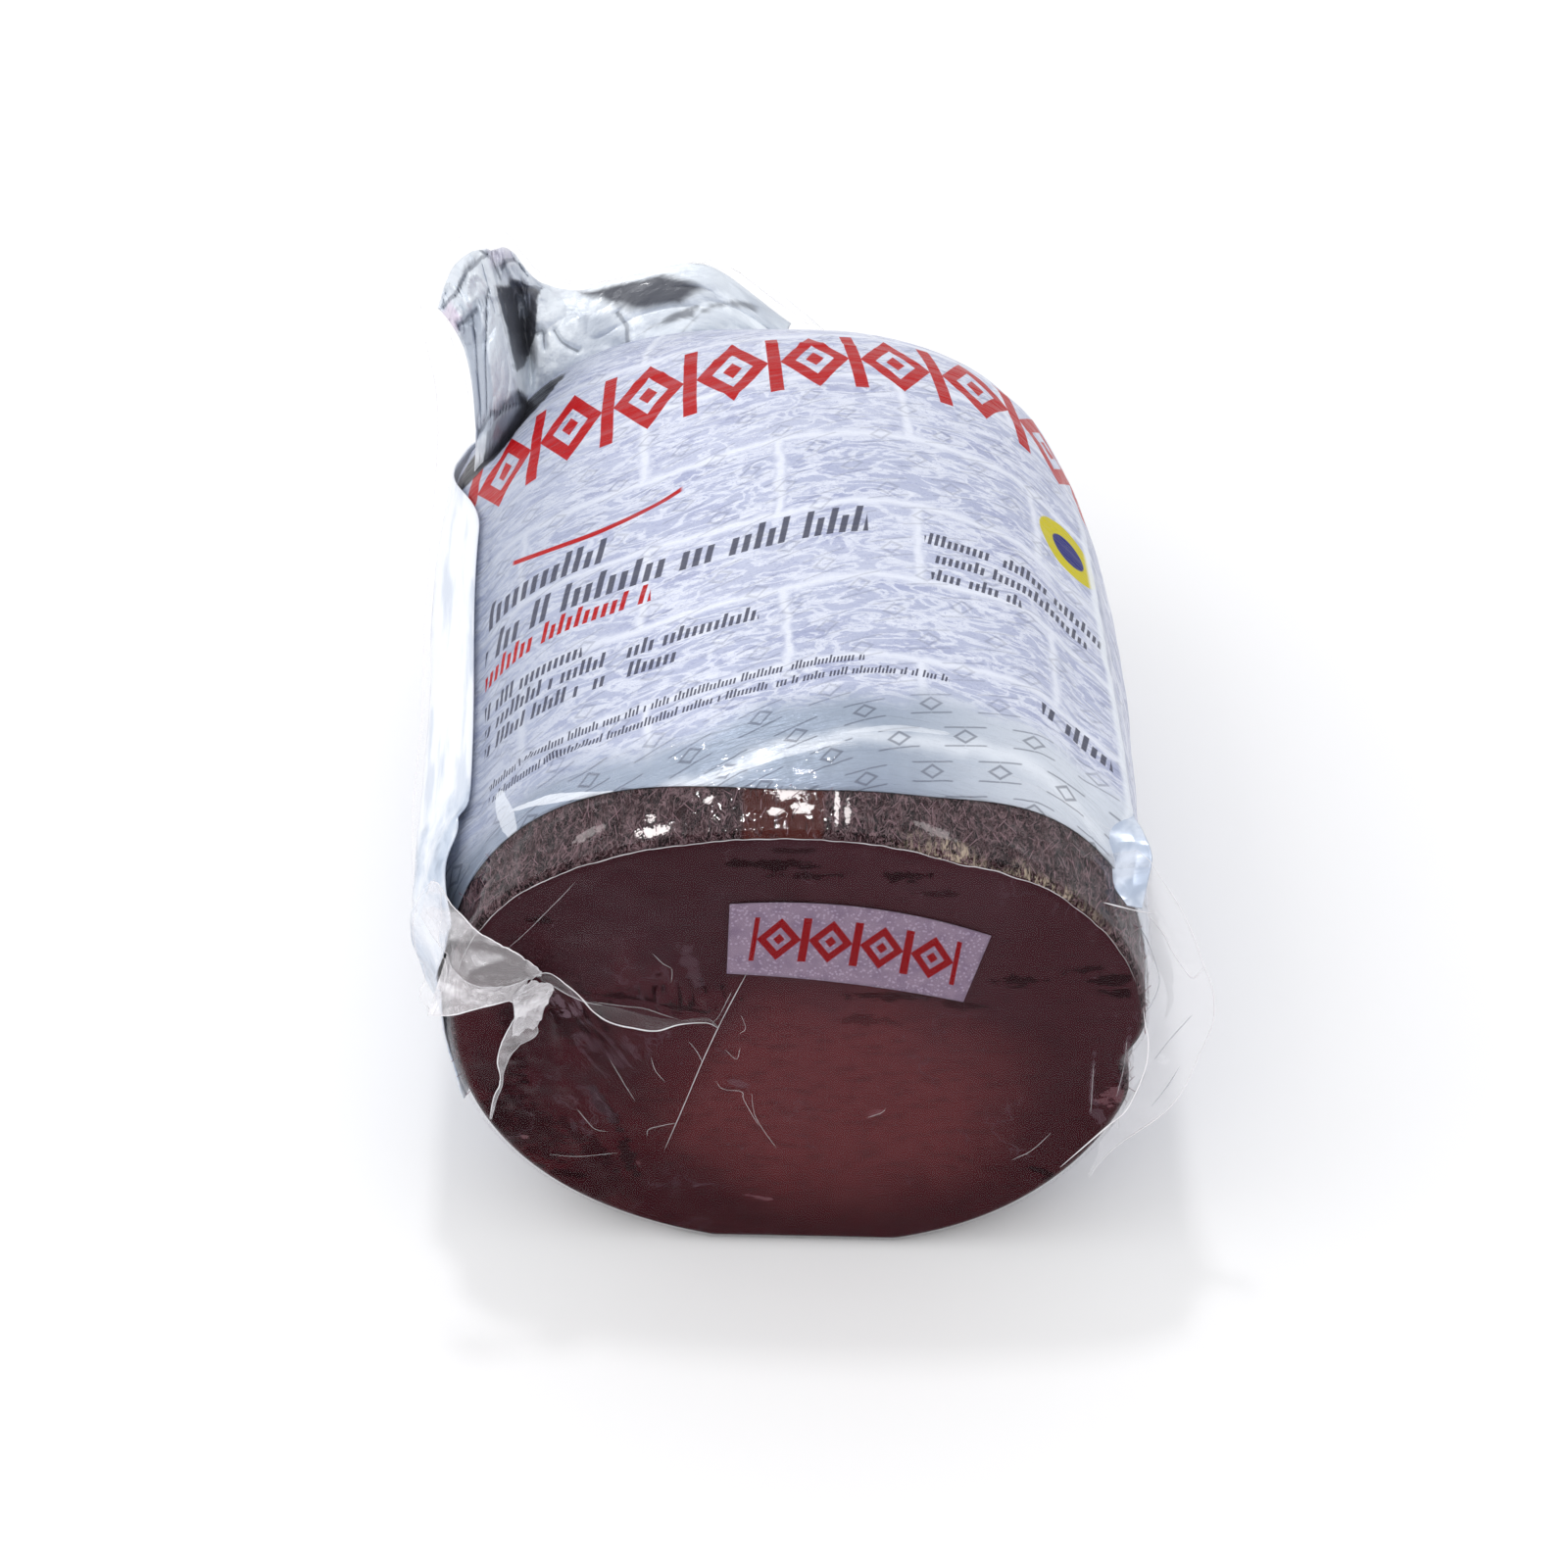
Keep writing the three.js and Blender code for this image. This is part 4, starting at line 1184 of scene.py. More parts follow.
@dataclass(frozen=True)
class FoilFinish:
    """Crumpled silver film of the tail, with painted light and shade on its facets, painted dark reflections
    in its folds and painted shade along its creases.
    """

    light: Colour = paint(232, 238, 245)
    middle: Colour = paint(160, 169, 184)
    dark: Colour = paint(66, 68, 78)
    rosy: Colour = paint(226, 206, 226)
    crease: Colour = paint(96, 102, 116)
    # Painted dark reflections and shade in the folds, the pocket and at the root.
    darks: tuple[Facet, ...] = (
        Facet(((25.8, 27), (46.5, 31.4), (43.5, 17.5), (26.2, 10)), 0.95),
        Facet(((57, 33), (73.7, 28.7), (80, 21), (77, 16), (68, 19), (62, 27)), 0.95, 3),
        Facet(((70.5, 11.5), (79.5, 15.5), (78.9, 12.5)), 0.7, 1.2),
        Facet(((79, 12), (88, 28), (87.5, 24)), 0.6, 1.2),
        Facet(((10.5, 9), (32, 4.5), (26, -3), (4, -3)), 1, 1.5),
        Facet(((6, 29.5), (21, 33), (20.5, 31.6)), 0.6, 1),
        Facet(((24.6, 27), (25.6, 27), (25.6, 10), (24.6, 10)), 0.4, 0.8),
    )
    # Painted mid-tone shade on facets.
    middles: tuple[Facet, ...] = (
        Facet(((-1, 27), (25, 27), (24, 3), (-1, 3)), 0.5, 2),
        Facet(((0, 27), (24, 28), (22, 34), (0, 34)), 0.3, 2),
        Facet(((2, 27), (16, 26), (13, 6), (-1, 4)), 0.9, 2),
        Facet(((48, 30.5), (56.8, 32.7), (64.7, 20), (67.3, 9.2), (61, 14), (55, 26)), 0.6, 3),
        Facet(((72, 6), (92, 10), (92, 2), (74, 2)), 0.4, 3), Facet(((84, 30), (92, 34), (92, 20)), 0.4, 2),
        Facet(((34, 25.5), (43, 28.5), (40, 23), (33, 22.5)), 0.45, 1.5),
        Facet(((45, 8), (60, 10), (58, 7), (45, 5)), 0.35, 2),
        Facet(((19.5, 26), (21, 26), (18.5, 8), (17, 8)), 0.6, 0.8),
        Facet(((24, 34), (47, 34), (46, 31), (26, 29)), 0.45, 2),
    )
    rosies: tuple[Facet, ...] = (
        Facet(((-1, 24), (6, 26), (5, 31), (-1, 32)), 0.8, 2.5),
        Facet(((26, 31), (36, 32), (36, 34), (26, 34)), 0.5, 2.5),
    )

    def material(self) -> Finish:
        """Builds the finish on film coordinates."""
        g = ShadeGraph("foil_film")
        film = g.film()
        u, v = g.split(film)[:2]
        rough = g.line(g.noise(film, 0.22, 4, distortion=1), 2.4, -1.2)
        facets = g.noise(film, (0.1, 0.05), 3, distortion=1.5)
        # Painted light and shade of the crumpled facets.
        g.colour = g.mix(g.times(g.rise(facets, 0.44, 0.6), 0.35), self.light, self.middle)
        g.coat(self.rosy, facet_mask(g, u, v, self.rosies, rough))
        g.coat(self.dark, facet_mask(g, u, v, self.darks, rough))
        g.coat(self.middle, facet_mask(g, u, v, self.middles, rough))
        wavy = g.join(g.line(rough, 0.5, u), g.line(rough, -0.4, v))
        # Painted shade along the creases.
        g.coat(self.crease, line_mask(g, wavy, TAIL_CREASES, 0.7), 0.6)
        return g.surface(
            Metallic=0.15, Roughness=0.36, Coat_Weight=0.2, Coat_Roughness=0.12,
            Normal=g.bump(g.noise(film, 0.35, 5), 0.5, 0.0012),
        )


@dataclass(frozen=True)
class LabelFinish:
    """Pale lavender label with a red ornament."""

    ground: Colour = paint(134, 116, 135)
    shade: Colour = paint(120, 102, 124)
    pebble: Colour = paint(176, 162, 182)
    red: Colour = paint(124, 2, 10)

    def material(self) -> Finish:
        """Builds the finish on the label's own coordinates."""
        g = ShadeGraph("label_film")
        film = g.film()
        x, y = g.split(film)[:2]
        cloud = g.noise(film, 0.25, 3)
        g.colour = g.mix(g.rise(cloud, 0.4, 0.7), self.ground, self.shade)
        g.coat(self.pebble, g.rise(g.cells(film, 1.25), 0.42, 0.22), 0.5)
        bow = g.times(g.times(x, x), 0.0042)
        level = g.minus(g.plus(y, bow), 2.6)
        ornament = g.times(g.lozenges(x, level, 10.4, 12.5), g.within(x, -21, 21, 0.1))
        g.coat(self.red, ornament)
        return g.surface(Roughness=0.4, Specular_IOR_Level=0.05)


@dataclass(frozen=True)
class ClearFinish:
    """Clear film: nearly nothing seen straight on, brighter at its creases and edges."""

    name: str = "clear_film"
    tint: Colour = paint(250, 248, 252)
    straight: float = 0.05
    edge: float = 0.5
    haze: float = 0.1
    metal: float = 0.0
    roughness: float = 0.08
    wrinkle: float = 0.0007

    def material(self) -> Finish:
        """Builds the finish as a mix with full transparency."""
        g = ShadeGraph(self.name)
        place = g.place()
        facing = g.add("ShaderNodeLayerWeight", {"Blend": 0.5}).outputs["Facing"]
        facing = g.math("POWER", facing, 3)
        cloud = g.rise(g.noise(g.scaled(place, 0.6, 1, 1), 0.16, 3, distortion=0.6), 0.4, 0.7)
        share = g.line(facing, self.edge, self.straight)
        share = g.math("ADD", share, g.times(cloud, self.haze), clamp=True)
        surface = g.nodes.new("ShaderNodeBsdfPrincipled")
        settings = {"Base Color": self.tint, "Metallic": self.metal, "Roughness": self.roughness}
        for key, value in settings.items():
            g.feed(surface.inputs[key], value)
        g.links.new(g.bump(g.noise(place, 0.22, 3), 0.5, self.wrinkle), surface.inputs["Normal"])
        clear = g.nodes.new("ShaderNodeBsdfTransparent")
        mixed = g.add("ShaderNodeMixShader", {0: share})
        g.links.new(clear.outputs[0], mixed.inputs[1])
        g.links.new(surface.outputs[0], mixed.inputs[2])
        g.links.new(mixed.outputs[0], g.output.inputs["Surface"])
        return g.material


class Recipe(Graph):
    """A Geometry Nodes tree with named inputs that ends in real geometry of one material."""

    def __init__(self, name: str) -> None:
        """Starts a tree that takes a geometry."""
        self.tree = bpy.data.node_groups.new(name, "GeometryNodeTree")
        super().__init__(self.tree)
        for way in ("INPUT", "OUTPUT"):
            self.tree.interface.new_socket("Geometry", in_out=way, socket_type="NodeSocketGeometry")
        self.start = self.nodes.new("NodeGroupInput")
        self.end = self.nodes.new("NodeGroupOutput")

    def ask(self, name: str, kind: str) -> str:
        """Adds a named input of a kind such as Float, Int or Material, and returns the name."""
        self.tree.interface.new_socket(name, in_out="INPUT", socket_type=f"NodeSocket{kind}")
        return name

    def feed(self, socket: Wire, value: object) -> None:
        """Links a socket to another, or to the tree's input of a name, or sets its value."""
        super().feed(socket, self.start.outputs[value] if isinstance(value, str) else value)

    def vary(self, low: float | Point, high: float | Point, seed: str) -> Wire:
        """A random number or vector for each instance."""
        kind = "FLOAT_VECTOR" if isinstance(low, tuple) else "FLOAT"
        node = self.add("FunctionNodeRandomValue", {"Min": low, "Max": high, "Seed": seed}, data_type=kind)
        return next(socket for socket in node.outputs if socket.enabled)

    def close(self, geometry: Wire) -> None:
        """Realizes the geometry and gives it the material."""
        real = self.add("GeometryNodeRealizeInstances", {"Geometry": geometry})
        painted = self.add("GeometryNodeSetMaterial", {"Geometry": real.outputs[0], "Material": "Material"})
        self.links.new(painted.outputs[0], self.end.inputs[0])

    def serve(self, base: Piece, name: str, values: dict[str, object]) -> Piece:
        """Runs the tree on an object and keeps the result in its place.

        Args:
            base: the object that the tree starts from. It is removed.
            name: the new object's name.
            values: the values of the named inputs.

        Returns:
            The new object.
        """
        modifier = base.modifiers.new("recipe", "NODES")
        modifier.node_group = self.tree
        for item in self.tree.interface.items_tree:
            if item.in_out == "INPUT" and item.name in values:
                modifier[item.identifier] = values[item.name]
        depsgraph = bpy.context.evaluated_depsgraph_get()
        mesh = bpy.data.meshes.new_from_object(base.evaluated_get(depsgraph))
        base.modifiers.remove(modifier)
        bpy.data.objects.remove(base)
        mesh.name = name
        return link_object(name, mesh)


def bead_recipe() -> Recipe:
    """Uneven beads along edges: a round section swept along each line, thin at the line's ends."""
    r = Recipe("edge_beads")
    radius, unevenness = r.ask("Radius", "Float"), r.ask("Unevenness", "Float")
    r.ask("Material", "Material")
    line = r.add("GeometryNodeMeshToCurve", {"Mesh": "Geometry"})
    section = r.add("GeometryNodeCurvePrimitiveCircle", {"Resolution": 6, "Radius": radius})
    onward = r.add("GeometryNodeSplineParameter", {}).outputs["Factor"]
    ends = r.times(onward, r.minus(1, onward))
    taper = r.math("SQRT", r.math("MINIMUM", r.times(ends, 6), 1))
    cloud = r.add("ShaderNodeTexNoise", {"Scale": 260, "Detail": 2}).outputs[0]
    swell = r.line(r.minus(cloud, 0.5), unevenness, 1)
    inputs = {"Curve": line.outputs[0], "Profile Curve": section.outputs[0], "Fill Caps": True}
    inputs["Scale"] = r.math("MAXIMUM", r.times(taper, swell), 0.15)
    r.close(r.add("GeometryNodeCurveToMesh", inputs).outputs[0])
    return r


def pebble_recipe() -> Recipe:
    """Small flattened pebbles strewn evenly over a surface."""
    r = Recipe("pebbles")
    spacing, size, seed = r.ask("Spacing", "Float"), r.ask("Size", "Float"), r.ask("Seed", "Int")
    r.ask("Material", "Material")
    inputs = {"Mesh": "Geometry", "Distance Min": spacing, "Density Max": 6e6, "Seed": seed}
    strewn = r.add("GeometryNodeDistributePointsOnFaces", inputs, distribute_method="POISSON")
    pebble = r.add("GeometryNodeMeshIcoSphere", {"Radius": size, "Subdivisions": 1})
    flat = r.add("GeometryNodeTransform", {"Geometry": pebble.outputs[0], "Scale": (1, 1, 0.35)})
    inputs = {"Points": strewn.outputs["Points"], "Instance": flat.outputs[0]}
    inputs.update({"Rotation": strewn.outputs["Rotation"], "Scale": r.vary(0.6, 1.15, seed)})
    r.close(r.add("GeometryNodeInstanceOnPoints", inputs).outputs[0])
    return r


def fibre_recipe() -> Recipe:
    """Short fibres that lie on a surface along the joint's length."""
    r = Recipe("fibres")
    density, length = r.ask("Density", "Float"), r.ask("Length", "Float")
    radius, seed = r.ask("Radius", "Float"), r.ask("Seed", "Int")
    r.ask("Material", "Material")
    inputs = {"Mesh": "Geometry", "Density": density, "Seed": seed}
    strewn = r.add("GeometryNodeDistributePointsOnFaces", inputs)
    inputs = {"Vertices": 4, "Side Segments": 1, "Radius": radius, "Depth": length}
    rod = r.add("GeometryNodeMeshCylinder", inputs)
    inputs = {"Geometry": rod.outputs[0], "Rotation": (math.pi / 2, 0, 0)}
    lying = r.add("GeometryNodeTransform", inputs)
    inputs = {"Points": strewn.outputs["Points"], "Instance": lying.outputs[0]}
    inputs["Rotation"] = r.vary((-0.3, -0.2, -0.8), (0.3, 0.2, 0.8), seed)
    inputs["Scale"] = r.vary(0.5, 1.4, seed)
    r.close(r.add("GeometryNodeInstanceOnPoints", inputs).outputs[0])
    return r


def lines_object(name: str, lines: Sequence[Array]) -> Piece:
    """An object whose edges follow lines of points."""
    points = np.vstack(lines)
    edges, start = [], 0
    for line in lines:
        edges += [(start + k, start + k + 1) for k in range(len(line) - 1)]
        start += len(line)
    mesh = bpy.data.meshes.new(name)
    mesh.from_pydata(to_row(points).tolist(), edges, [])
    return link_object(name, mesh)


@dataclass
class Joint:
    """The meat: a cut face, a small round at the rim, and the casing round the side."""

    columns: int = 360
    face_rows: int = 64
    rim_rows: int = 7
    side_rows: int = 64
    crowding: float = 2.4
    relief: float = 0.12
    beef: BeefFinish = BeefFinish()
    casing: CasingFinish = CasingFinish()

    def build(self) -> Piece:
        """Makes the meat."""
        angle = np.linspace(0, 2 * math.pi, self.columns, endpoint=False)
        centre, face, shares = SHAPE.face(angle, self.face_rows)
        noise = Crumple(3).layers(face[..., 0] / 9, face[..., 2] / 6)
        face[..., 1] += self.relief * noise * smoothstep(1 - shares, 0, 0.04)
        turns = np.linspace(0, math.pi / 2, self.rim_rows + 1)[1:]
        rim = np.stack([SHAPE.rim(angle, turn) for turn in turns])
        places = 1 - (1 - np.linspace(0, 1, self.side_rows + 1)[1:-1]) ** self.crowding
        start = SHAPE.rim_round / SHAPE.length
        side = SHAPE.point((start + (1 - start) * places)[:, None], angle[None, :])
        rings = np.concatenate([face, rim, side])
        flat = np.stack([rings[..., 0], rings[..., 2] / math.cos(SHAPE.lean)], -1)
        uv = np.concatenate([flat, flat[:, :1]], 1)
        slots = [int(band > self.face_rows + 1) for band in range(len(rings) + 1)]
        tips = (centre, SHAPE.point(1, 0))
        materials = [self.beef.material(), self.casing.material()]
        piece = loft("cut_joint", rings, uv, tips, materials, slots)
        return finish_piece(piece, Slot.BEEF, "bresaola")


@dataclass
class CasingFibres:
    """Pale fibres on the strip of casing in front of the wrap."""

    density: float = 1.6e5
    length: float = 3.0
    radius: float = 0.06
    colour: Colour = paint(132, 104, 112)

    def build(self) -> Piece:
        """Makes the fibres."""
        angle = np.linspace(-0.35, math.pi + 0.35, 160)[None, :]
        along = SHAPE.along_of(np.linspace(1.6, 16, 9)[:, None], angle)
        strip = ground_sheet("casing_strip", SHAPE.raised(along, angle, 0.04), flipped=True)
        g = ShadeGraph("casing_fibres")
        material = g.surface(Base_Color=self.colour, Roughness=0.6, Specular_IOR_Level=0.1)
        values = {"Density": self.density, "Length": self.length * MM, "Radius": self.radius * MM}
        values.update({"Seed": 5, "Material": material})
        return finish_piece(fibre_recipe().serve(strip, "casing_fibres", values), Slot.BEEF)


@dataclass(frozen=True)
class Pinch:
    """A short sharp fold in the wrap, from one film coordinate to another."""

    start: Spot
    end: Spot
    height: float
    width: float

    def lift(self, around: Array, onward: Array) -> Array:
        """Height of the fold above the wrap."""
        start, end = np.array(self.start), np.array(self.end)
        run = end - start
        across, upward = around - start[0], onward - start[1]
        share = (across * run[0] + upward * run[1]) / run.dot(run)
        away = (upward * run[0] - across * run[1]) / np.linalg.norm(run)
        fade = np.clip(4 * share * (1 - share), 0, 1)
        return self.height * fade * np.maximum(0, 1 - np.abs(away) / self.width) ** 1.3


@dataclass
class PrintedWrap:
    """The printed wrap on the meat, with its ridges and its wavy cut edge."""

    columns: int = 400
    rows: int = 170
    inner_rows: int = 14
    crowding: float = 2.4
    inner_height: float = 0.2
    edge_height: float = 0.45
    edge_reach: float = 16.0
    wrinkle: float = 0.24
    gathers: float = 1.1
    drop: float = 17.0
    drop_span: tuple[float, float] = (-45, 30)
    rise: float = 0.35
    rise_start: float = 52.0
    pinches: tuple[Pinch, ...] = (
        Pinch((-60, 34), (-37, 25), 1.5, 1.6), Pinch((-58, 24), (-42, 19), 1.1, 1.3),
        Pinch((-66, 44), (-56, 30), 1, 1.6), Pinch((-20, 150), (30, 156), 0.5, 1.6),
        Pinch((-40, 138), (-5, 146), 0.5, 1.4), Pinch((-30, 128), (20, 131), 0.35, 1.4),
    )
    finish: PrintFinish = PrintFinish()

    def drop_at(self, around: Array) -> Array:
        """How far the print lies lower than straight, by distance from the top."""
        low, high = self.drop_span
        share = np.clip((high - around) / (high - low), 0, 1)
        left = self.drop * (0.5 - 0.5 * np.cos(math.pi * share))
        return left + self.rise * np.maximum(0, around - self.rise_start)

    def along_rows(self, angle: Array, count: int) -> Array:
        """Places of rows from the cut edge to just before the pole, by columns."""
        start = WRAP.edge(angle) / (SHAPE.length - SHAPE.point(0.07, angle)[..., 2] * math.tan(SHAPE.lean))
        share = 1 - (1 - np.linspace(0, 1, count, endpoint=False)) ** self.crowding
        return start[None, :] + (1 - start[None, :]) * share[:, None]

    def wrinkles(self, around: Array, onward: Array) -> Array:
        """Heights of the fine creases that run round the wrap."""
        noise = Crumple(11)
        creases = noise.layers(around / 34, onward / 6.5) * self.wrinkle
        puckers = noise.folds(around / 4.5, onward / 30, 2) * 0.35 * hill(onward - 14, 9)
        return creases + puckers + sum(pinch.lift(around, onward) for pinch in self.pinches)

    def meridian(self, along: Array, angle: Array) -> Array:
        """Distance along the surface from the cut face."""
        fine = 1 - (1 - np.linspace(0, 1, 500)) ** 2
        line = SHAPE.point(fine[:, None], angle[None, :])
        steps = np.linalg.norm(np.diff(line, axis=0), axis=-1)
        total = np.vstack([np.zeros(len(angle)), np.cumsum(steps, axis=0)])
        columns = [np.interp(along[:, k], fine, total[:, k]) for k in range(len(angle))]
        return np.stack(columns, 1)

    def build(self) -> Piece:
        """Makes the wrap."""
        angle = np.linspace(-0.5 * math.pi, 1.5 * math.pi, self.columns + 1)
        outer_along = self.along_rows(angle, self.rows)
        inner_along = self.along_rows(angle, self.inner_rows)[::-1]
        along = np.concatenate([inner_along, outer_along])
        around = np.broadcast_to(SHAPE.girth(angle), along.shape)
        onward = self.meridian(along, angle)
        full = WRAP.height(outer_along, angle[None, :])
        behind = (outer_along - outer_along[:1]) * SHAPE.length
        shown = self.edge_height + (full - self.edge_height) * smoothstep(behind, 0, self.edge_reach)
        rows = len(inner_along)
        fade = smoothstep(behind, 0, 3) * (1 - smoothstep(outer_along, 0.9, 0.99))
        shown = shown + self.wrinkles(around[rows:], onward[rows:]) * fade
        gathered = smoothstep(outer_along, 0.962, 0.975) * (1 - smoothstep(outer_along, 0.988, 0.999))
        shown = shown + self.gathers * Crumple(17).folds(around[rows:] / 9, 0, 2) * gathered
        height = np.concatenate([np.full(inner_along.shape, self.inner_height), shown])
        rings = SHAPE.raised(along, angle[None, :], height)[:, :-1]
        uv = np.stack([around, onward + self.drop_at(around)], -1)
        pole = SHAPE.point(1, 0)
        outward = np.array([0, 1, 0])
        tips = (pole + outward * self.inner_height, pole + outward * float(full[-1].mean()))
        piece = loft("wrap_print", rings, uv, tips, [self.finish.material()])
        return finish_piece(piece, Slot.PRINT, "printed_wrap")


@dataclass
class SideFlap:
    """The wrap's white overlap that stands along the left side."""

    angles: tuple[float, float] = (149, 200)
    places: tuple[float, float] = (0.02, 0.93)
    rows: int = 150
    columns: int = 26
    lift: float = 0.75
    curl: float = 1.0
    recede: float = 17.0
    crumple: float = 1.5
    thickness: float = 0.4
    finish: WhiteFilmFinish = WhiteFilmFinish()

    def build(self) -> Piece:
        """Makes the flap."""
        along = np.linspace(*self.places, self.rows)[:, None]
        first = self.angles[0] + self.recede * smoothstep(along, 0.62, 0.86)
        first = first + 5 * (1 - smoothstep(along, 0.05, 0.2))
        share = np.linspace(0, 1, self.columns)[None, :]
        degrees = first + (self.angles[1] - first) * share
        angle = np.radians(degrees)
        noise = Crumple(23)
        height = WRAP.height(along, angle) + self.lift
        height = height + self.curl * hill(degrees - first, 4)
        around = SHAPE.girth(angle)
        onward = along * SHAPE.length + 0 * angle
        height = height + 0.5 * noise.layers(around / 9, onward / 26, 2) * smoothstep(share, 0.02, 0.15)
        crumpled = 1 - smoothstep(onward, 30, 48)
        height = height + self.crumple * noise.folds(around / 10, onward / 13, 1) * crumpled
        grid = SHAPE.raised(along + 0 * angle, angle, height)
        uv = np.stack([around, onward], -1)
        piece = sheet("side_flap", grid, self.thickness, uv, self.finish.material())
        return finish_piece(piece, Slot.PRINT, "printed_wrap")


@dataclass(frozen=True)
class Lump:
    """A rounded swelling of a sheet, at a place in its film coordinates."""

    place: Spot
    spread: Spot
    forward: float
    upward: float


@dataclass
class Tail:
    """The crumpled foil sheet that rises behind the joint on the left."""

    root: tuple[Point, ...] = (
        (-76.5, 158, 73), (-73, 160, 73), (-66, 166, 82), (-65, 178, 74), (-63, 181, 73),
        (-54, 184, 71), (-41, 187, 74), (-26, 190, 74), (-7, 190, 66),
    )
    middle: tuple[Point, ...] = (
        (-77.5, 172, 93), (-73.5, 170, 97), (-70, 174, 100), (-67, 189, 86), (-63, 190, 86),
        (-54, 192, 85), (-42, 198, 87), (-26, 203, 87), (-7, 198, 77),
    )
    top: tuple[Point, ...] = (
        (-85, 183, 101), (-82, 189, 106), (-76, 195, 107), (-70, 199, 104), (-64, 201, 94),
        (-54, 203, 90), (-42, 207, 91), (-26, 211, 91), (-6, 205, 79),
    )
    columns: int = 300
    rows: int = 120
    width: float = 92.0
    height: float = 34.0
    crumple: float = 1.1
    strip_edge: float = 25.8
    pocket_edge: float = 45.0
    pocket_depth: float = 5.5
    crease_depth: float = 1.1
    crease_width: float = 0.9
    knob_crumple: float = 1.8
    swell_way: Point = (0, -0.68, 0.73)
    lumps: tuple[Lump, ...] = (
        Lump((3, 28), (6, 5), 5, -0.6), Lump((17, 31.5), (8, 4.5), 6, 0.4),
        Lump((35, 31.5), (8, 4.5), 8, 0.8), Lump((13, 13), (4, 16), 2.4, 0),
    )
    finish: FoilFinish = FoilFinish()

    def point(self, u: Array, v: Array) -> Array:
        """Points of the sheet: u from left to right, v from its root to its top edge."""
        u, v = np.broadcast_arrays(np.asarray(u, float), np.asarray(v, float))
        low, mid, high = (smooth_curve(line, u) for line in (self.root, self.middle, self.top))
        v = v[..., None]
        return low * (1 - v) * (1 - 2 * v) + mid * 4 * v * (1 - v) + high * v * (2 * v - 1)

    def pocket(self, around: Array, onward: Array) -> Array:
        """Depth of the fold that runs up beside the strip on the left."""
        enter = smoothstep(around, self.strip_edge, self.strip_edge + 1.2)
        leave = 1 - smoothstep(around, self.strip_edge + 6, self.pocket_edge)
        return self.pocket_depth * enter * leave * smoothstep(onward, 3, 14)

    def build(self) -> Piece:
        """Makes the sheet."""
        u = np.linspace(0, 1, self.columns)[None, :]
        v = np.linspace(0, 1, self.rows)[:, None]
        grid = self.point(u, v)
        around, onward = u * self.width + 0 * v, v * self.height + 0 * u
        noise = Crumple(31)
        relief = noise.folds(around / 15, onward / 13, 2) - 0.5
        forward = -self.crumple * relief * smoothstep(v, 0, 0.3) - self.pocket(around, onward)
        for lump in self.lumps:
            (across, upward), (wide, tall) = lump.place, lump.spread
            swell = hill(around - across, wide) * hill(onward - upward, tall)
            forward = forward + lump.forward * swell
            grid[..., 2] += lump.upward * swell
        for crease in TAIL_CREASES:
            spots = smooth_curve([(*spot, 0) for spot in crease], np.linspace(0, 1, 24))[:, :2]
            away = np.hypot(around[..., None] - spots[:, 0], onward[..., None] - spots[:, 1]).min(-1)
            forward = forward - self.crease_depth * hill(away, self.crease_width)
        knob = (noise.folds(around / 6, onward / 4.5, 2) - 0.5) * smoothstep(onward, 18, 26)
        forward = forward + self.knob_crumple * knob * (1 - smoothstep(around, 38, 50))
        grid += np.array(self.swell_way) * forward[..., None]
        grid[..., 2] += 0.4 * noise.layers(around / 7, onward / 9, 3) * smoothstep(v, 0.2, 1)
        uv = np.stack([around, onward], -1)
        piece = sheet("wrap_tail", grid, 0.4, uv, self.finish.material())
        return finish_piece(piece, Slot.PRINT, "printed_wrap")


@dataclass
class FaceLabel:
    """The bowed label under the film of the cut face."""

    top: float = 53.0
    height: float = 17.5
    top_bow: float = 3.2
    foot_bow: float = 1.2
    left_slant: float = 1.6
    right_slant: float = 2.9
    tilt: float = math.radians(-7.3)
    middle: Spot = (11.4, 77.2)
    lift: float = 0.45
    thickness: float = 0.2
    columns: int = 60
    rows: int = 20
    pebble_spacing: float = 0.62
    pebble_size: float = 0.36
    finish: LabelFinish = LabelFinish()

    def local(self) -> tuple[Array, Array]:
        """Places on the label, before it is turned."""
        t = np.linspace(0, 1, self.columns)[None, :]
        share = np.linspace(0, 1, self.rows)[:, None]
        half, edge = self.height / 2, self.top / 2
        bow = 2 * t * (1 - t)
        top_x, top_y = edge * (2 * t - 1), half + bow * 2 * self.top_bow
        foot_x = (1 - t) ** 2 * (self.left_slant - edge) + t**2 * (edge - self.right_slant)
        foot_y = -half + bow * 2 * self.foot_bow
        return foot_x + (top_x - foot_x) * share, foot_y + (top_y - foot_y) * share

    def on_face(self, x: Array, y: Array, height: float) -> Array:
        """Points of the label on the cut face."""
        turn_cos, turn_sin = math.cos(self.tilt), math.sin(self.tilt)
        across = self.middle[0] + x * turn_cos - y * turn_sin
        return SHAPE.on_face(across, self.middle[1] + x * turn_sin + y * turn_cos, height)

    def build(self) -> None:
        """Makes the label and the fine pebbles on it."""
        x, y = self.local()
        plate = self.on_face(x, y, self.lift)
        piece = sheet("face_label", plate, self.thickness, np.stack([x, y], -1), self.finish.material())
        finish_piece(piece, Slot.LABEL, "label")
        top = self.on_face(x, y, self.lift + self.thickness / 2 + 0.02)
        glassy = ClearFinish("clear_pebbles", straight=0, edge=0.1, haze=0, metal=0.2)
        values = {"Spacing": self.pebble_spacing * MM, "Size": self.pebble_size * MM, "Seed": 8}
        values["Material"] = glassy.material()
        ground = ground_sheet("pebble_ground", top)
        finish_piece(pebble_recipe().serve(ground, "label_pebbles", values), Slot.LABEL)


